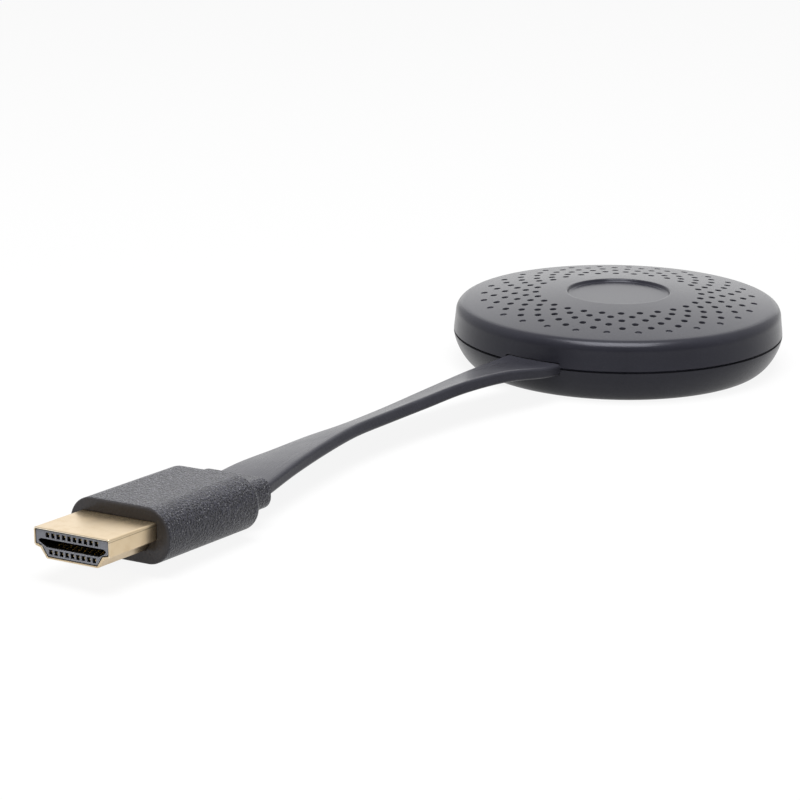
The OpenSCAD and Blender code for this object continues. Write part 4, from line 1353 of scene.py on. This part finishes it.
@dataclass
class Case:
    """Round case: vented upper cover and plain lower cover, both hollow.

    Names that end in _r are radii, _z heights over the base, and _rings radii of rows of points. Pairs of
    steps are for the outside and the inside.
    """

    radius: float = 29.8
    seam_z: float = 5.8
    top_z: float = 13.3
    base_r: float = 26.0
    lean: float = 0.35
    wall: float = 1.6
    shoulder_r: float = 2.0
    crown_r: float = 188.0
    groove: float = 0.32
    recess_r: float = 9.45
    recess_depth: float = 0.8
    recess_flare: float = 0.4
    recess_soft: Flat = (0.5, 0.16)
    recess_foot: tuple[Flat, ...] = ((-0.03, 0.04), (0.06, 0.12))
    recess_rim: tuple[Flat, ...] = ((-0.1, -0.2), (-0.02, -0.08), (0.08, -0.02))
    recess_land: Flat = (0.22, 0.6)
    recess_rings: Flat = (3.0, 6.0)
    crown_rings: Flat = (11.2, 12.6)
    shoulder_lead: Flat = (0.8, 1.6)
    shoulder_steps: tuple[int, int] = (14, 6)
    wall_shares: tuple[float, ...] = (0.25, 0.5, 0.75, 0.95, 1.0)
    pad_r: float = 11.05
    vent_first_r: float = 15.0
    vent_pitch: float = 1.9
    vent_rings: int = 6
    vent_count: int = 28
    vent_r: float = 0.55
    vent_rim: float = 0.13
    vent_land: float = 0.22
    vent_drop: float = 0.02
    vent_stop: float = 0.05
    dimple_depth: float = 0.15
    dimple_dish: float = 0.04
    cell_arc: int = 8
    cell_side: int = 6
    lip_out_r: float = 27.75
    lip_in_r: float = 26.85
    lip_h: float = 1.4
    lip_foot: float = 2.1
    ledge: float = 0.1
    bevel_share: float = 1.5
    bevel_steps: tuple[int, int] = (28, 16)
    base_rings: tuple[float, ...] = (8.0, 16.0, 22.0, 25.2)
    base_middle_r: float = 12.0
    lower_columns: int = 192
    sharp: float = 33.0
    past: float = 2.0
    slot: Sizes = (11.3, 2.26, 0.6)
    slot_inner_y: float = -25.37
    socket: Sizes = (7.9, 2.9, 0.25)
    socket_inner_y: float = 23.4
    socket_mid_z: float = 5.85
    button_angle: float = 114.0
    button_hole_r: float = 1.75
    button_hole_points: int = 48

    @property
    def columns(self) -> int:
        """Points round the case."""
        return self.vent_count * self.cell_arc

    @property
    def crown_z(self) -> float:
        """Height of the crown's centre of curvature."""
        return self.top_z - self.crown_r

    def crown_height(self, r: float, inset: float) -> float:
        """Height of the crown at a distance from the axis, with its surface moved in."""
        return self.crown_z + math.sqrt((self.crown_r - inset) ** 2 - r**2)

    def turned(self, skin: Skin, profile: Sequence[Flat], count: int) -> list[list[int]]:
        """Adds a ring of count points for each distance from the axis and height in a profile."""
        angles = [2 * math.pi * k / count - math.pi / 2 for k in range(count)]
        return [skin.ring((r * math.cos(a), r * math.sin(a), z) for a in angles) for r, z in profile]

    def shoulder(self, inset: float, steps: int) -> list[Flat]:
        """Profile of the rounded shoulder, from the crown down to the side wall.

        Args:
            inset: How far it is moved in.
            steps: Segments of the arc.

        Returns:
            The profile.
        """
        x = self.radius - self.lean - self.shoulder_r
        z = self.crown_z + math.sqrt((self.crown_r - self.shoulder_r) ** 2 - x**2)
        top = math.atan2(z - self.crown_z, x)
        r = self.shoulder_r - inset
        turns = [top * (1 - k / steps) for k in range(steps + 1)]
        return [(x + r * math.cos(a), z + r * math.sin(a)) for a in turns]

    def vent_ring(
        self, skin: Skin, index: int, edge_in: list[int], inset: float
    ) -> tuple[list[int], list[list[int]]]:
        """Adds one ring of vent holes to a crowned surface.

        Args:
            skin: Where it goes.
            index: The ring's number from the middle.
            edge_in: Points of the circle inside it.
            inset: How far the surface is moved in, 0 on the outside.

        Returns:
            Points of the circle outside it, and the rim of each hole.
        """
        mid = self.vent_first_r + index * self.vent_pitch
        low, high = mid - self.vent_pitch / 2, mid + self.vent_pitch / 2
        edge_out = self.turned(skin, [(high, self.crown_height(high, inset))], self.columns)[0]
        shift = self.cell_arc // 2 if index % 2 == 0 else 0
        start = shift - self.cell_arc // 2
        spokes = []
        for i in range(self.vent_count):
            a = 2 * math.pi * (start + i * self.cell_arc) / self.columns - math.pi / 2
            radii = [low + (high - low) * m / self.cell_side for m in range(1, self.cell_side)]
            line = [(r * math.cos(a), r * math.sin(a), self.crown_height(r, inset)) for r in radii]
            spokes.append(skin.ring(line))
        rims = []
        for i in range(self.vent_count):
            columns = [(start + i * self.cell_arc + m) % self.columns for m in range(self.cell_arc + 1)]
            border = [edge_in[k] for k in columns]
            border += spokes[(i + 1) % self.vent_count]
            border += [edge_out[k] for k in reversed(columns)]
            border += list(reversed(spokes[i]))
            turn = 2 * math.pi * (shift + i * self.cell_arc) / self.columns - math.pi / 2
            rims.append(self.vent_hole(skin, border, mid, turn, inset))
        return edge_out, rims

    def vent_hole(self, skin: Skin, border: list[int], mid: float, turn: float, inset: float) -> list[int]:
        """Adds the surface between a cell's border and its round hole.

        Args:
            skin: Where it goes.
            border: The cell's border, from its inner corner round.
            mid: Distance of the hole from the case's axis.
            turn: Direction of the hole in radians.
            inset: How far the surface is moved in.

        Returns:
            The hole's rim.
        """
        centre = Vector((mid * math.cos(turn), mid * math.sin(turn)))
        angles = []
        for side, steps in enumerate((self.cell_arc, self.cell_side, self.cell_arc, self.cell_side)):
            angles += [-math.pi * 0.75 + math.pi / 2 * (side + k / steps) for k in range(steps)]
        rings = [border]
        for r in (self.vent_r + self.vent_land, self.vent_r + self.vent_rim):
            places = []
            for a in angles:
                outward, along = math.sin(a), math.cos(a)
                flat = centre + r * Vector((
                    outward * math.cos(turn) - along * math.sin(turn),
                    outward * math.sin(turn) + along * math.cos(turn),
                ))
                places.append((flat.x, flat.y, self.crown_height(flat.length, inset)))
            rings.append(skin.ring(places))
        skin.loft(rings)
        return rings[-1]

    def bore(self, skin: Skin, rim: list[int], depth: float) -> list[int]:
        """Adds a hole's softened rim and its wall.

        Args:
            skin: Where it goes.
            rim: The hole's rim on the outside.
            depth: Depth of the hole.

        Returns:
            The ring at its bottom.
        """
        places, middle = [skin.points[i] for i in rim], skin.middle(rim)
        share = self.vent_r / (self.vent_r + self.vent_rim)
        rings = [rim]
        for part, drop in ((0.5 * (1 + share), self.vent_drop), (share, self.vent_rim), (share, depth)):
            rings.append(skin.ring(middle + (p - middle) * part - Vector((0, 0, drop)) for p in places))
        skin.loft(rings)
        return rings[-1]

    def upper(self) -> bpy.types.Object:
        """Makes the vented upper cover.

        Returns:
            The cover.
        """
        skin, n = Skin(), self.columns
        floor_z = self.top_z - self.recess_depth
        slope = self.recess_flare / self.recess_depth
        foot = self.recess_r - self.recess_flare
        rim = foot + slope * (self.crown_height(self.recess_r, 0) - floor_z)
        dish = [(r, floor_z) for r in (*self.recess_rings, *(foot - inside for inside in self.recess_soft))]
        dish += [(foot + r, floor_z + z) for r, z in self.recess_foot]
        top = self.crown_height(rim, 0)
        dish += [(rim + r, top + z) for r, z in self.recess_rim]
        first = self.vent_first_r - self.vent_pitch / 2
        land = [rim + outside for outside in self.recess_land]
        dish += [(r, self.crown_height(r, 0)) for r in (*land, *self.crown_rings, first)]
        rings = self.turned(skin, dish, n)
        skin.fan(rings[0], (0, 0, floor_z))
        skin.loft(rings)
        inner_dish = [(self.pad_r, floor_z - self.wall)]
        inner_dish += [(r, self.crown_height(r, self.wall)) for r in (self.pad_r, self.crown_rings[1], first)]
        inner = self.turned(skin, inner_dish, n)
        skin.fan(inner[0], (0, 0, floor_z - self.wall))
        skin.loft(inner)
        edge, back_edge = rings[-1], inner[-1]
        for index in range(self.vent_rings):
            edge, rims = self.vent_ring(skin, index, edge, 0.0)
            back_edge, back_rims = self.vent_ring(skin, index, back_edge, self.wall)
            blind = index == self.vent_rings - 1
            for rim_out, rim_in in zip(rims, back_rims):
                bottom = self.bore(skin, rim_out, self.dimple_depth if blind else self.wall - self.vent_stop)
                if blind:
                    skin.fan(bottom, skin.middle(bottom) - Vector((0, 0, self.dimple_dish)))
                    skin.fan(rim_in, skin.middle(rim_in))
                else:
                    skin.band(bottom, rim_in)
        last = self.vent_first_r + (self.vent_rings - 0.5) * self.vent_pitch
        steps, back_steps = self.shoulder_steps
        side = [(last + r, self.crown_height(last + r, 0)) for r in self.shoulder_lead]
        side += self.shoulder(0.0, steps)
        wall_top, wall_foot = Vector(side[-1]), Vector((self.radius, self.seam_z + self.groove))
        side += [tuple(wall_top.lerp(wall_foot, share)) for share in self.wall_shares]
        side += [(self.radius - self.groove, self.seam_z), (self.radius - self.lean - self.wall, self.seam_z)]
        back_start = last + self.shoulder_lead[0]
        back = [(back_start, self.crown_height(back_start, self.wall)), *self.shoulder(self.wall, back_steps)]
        outer = [edge] + self.turned(skin, side, n)
        hidden = [back_edge] + self.turned(skin, back, n)
        skin.loft(outer)
        skin.loft(hidden)
        skin.band(outer[-1], hidden[-1])
        return self.opened(skin.make("top_cover_vented", CASE_TOP, self.sharp), "top_cover")

    def bevel(self, inset: float, steps: int) -> list[Flat]:
        """Profile of the lower side, from the seam to the flat, moved in.

        Args:
            inset: How far it is moved in.
            steps: Segments of the curve.

        Returns:
            The profile.
        """
        made = []
        for k in range(steps + 1):
            a = math.pi / 2 * k / steps
            c, s = (max(0.0, v) ** (2 / self.bevel_share) for v in (math.cos(a), math.sin(a)))
            r = self.base_r - inset + (self.radius - self.base_r) * c
            made.append((r, inset + (self.seam_z - inset) * (1 - s)))
        return made

    def lower(self) -> bpy.types.Object:
        """Makes the lower cover with its lip.

        Returns:
            The cover.
        """
        skin = Skin()
        steps, back_steps = self.bevel_steps
        outside = list(reversed(self.bevel(0.0, steps)))
        top, ledge, foot = self.seam_z, self.seam_z - self.ledge, self.seam_z - self.lip_foot
        outside[-1] = (self.radius, ledge)
        base = [(r, 0.0) for r in self.base_rings]
        lip = [(self.radius - self.groove, ledge), (self.radius - self.groove, top), (self.lip_out_r, top),
               (self.lip_out_r, top + self.lip_h), (self.lip_in_r, top + self.lip_h), (self.lip_in_r, foot)]
        inside = [p for p in self.bevel(self.wall, back_steps) if p[1] < foot and p[0] < self.lip_in_r]
        inside.append((self.base_middle_r, self.wall))
        rings = self.turned(skin, base + outside + lip + inside, self.lower_columns)
        skin.fan(rings[0], (0, 0, 0))
        skin.loft(rings)
        skin.fan(rings[-1], (0, 0, self.wall))
        return self.opened(skin.make("bottom_cover_shell", CASE_BASE, self.sharp), "bottom_cover")

    def opened(self, cover: bpy.types.Object, node: str) -> bpy.types.Object:
        """Cuts the openings into a cover, which then stands for its node."""
        cut_away(cover, self.openings(), self.sharp)
        return stand_for(cover, node)

    def openings(self) -> list[bpy.types.Object]:
        """Makes the solids that cut the cable slot, the power opening and the button's hole.

        Returns:
            The three solids.
        """
        reach = self.radius + self.past
        slot = self.prism("slot", box_outline(*self.slot, 6), -reach, self.slot_inner_y, self.seam_z)
        mouth = box_outline(*self.socket, 4)
        socket = self.prism("socket", mouth, self.socket_inner_y, reach, self.socket_mid_z)
        circle = [2 * math.pi * k / self.button_hole_points for k in range(self.button_hole_points)]
        outline = [(self.button_hole_r * math.cos(a), self.button_hole_r * math.sin(a)) for a in circle]
        hole = self.prism("button", outline, self.lip_in_r - self.past, reach, self.seam_z)
        hole.data.transform(Matrix.Rotation(math.radians(self.button_angle - 90), 4, "Z"))
        return [slot, socket, hole]

    @staticmethod
    def prism(name: str, outline: Sequence[Flat], y0: float, y1: float, z: float) -> bpy.types.Object:
        """Makes a solid of one outline along Y.

        Args:
            name: The object's name.
            outline: Its outline across.
            y0: Where it starts.
            y1: Where it ends.
            z: Height of its middle.

        Returns:
            The solid.
        """
        skin = Skin()
        ends = [skin.ring((x, y, z + h) for x, h in outline) for y in (y0, y1)]
        skin.loft(ends)
        for ring, y in zip(ends, (y0, y1)):
            skin.fan(ring, (0, y, z))
        return skin.make(name, CASE_BASE)

    def build(self) -> list[bpy.types.Object]:
        """Makes both covers."""
        return [self.upper(), self.lower()]


def dress_carried() -> None:
    """Gives every CAD node that stays its finish."""
    for name, finish in CARRIED.items():
        node = frame["nodes"][name]
        for slot in node.material_slots:
            slot.material = finish.material()
        LOG.info("%s: %s", name, finish.name)


def main() -> None:
    """Builds the scene in order."""
    logging.basicConfig(level=logging.INFO, format="%(name)s: %(message)s")
    missing = [body.value for body in Body if body.value not in frame["bodies"]]
    LOG.info("bodies missing: %s", missing or "none")
    studio = Studio()
    studio.camera()
    FlatCable().build()
    Case().build()
    dress_carried()
    studio.build()
    bpy.context.view_layer.update()


if __name__ == "__main__":
    main()
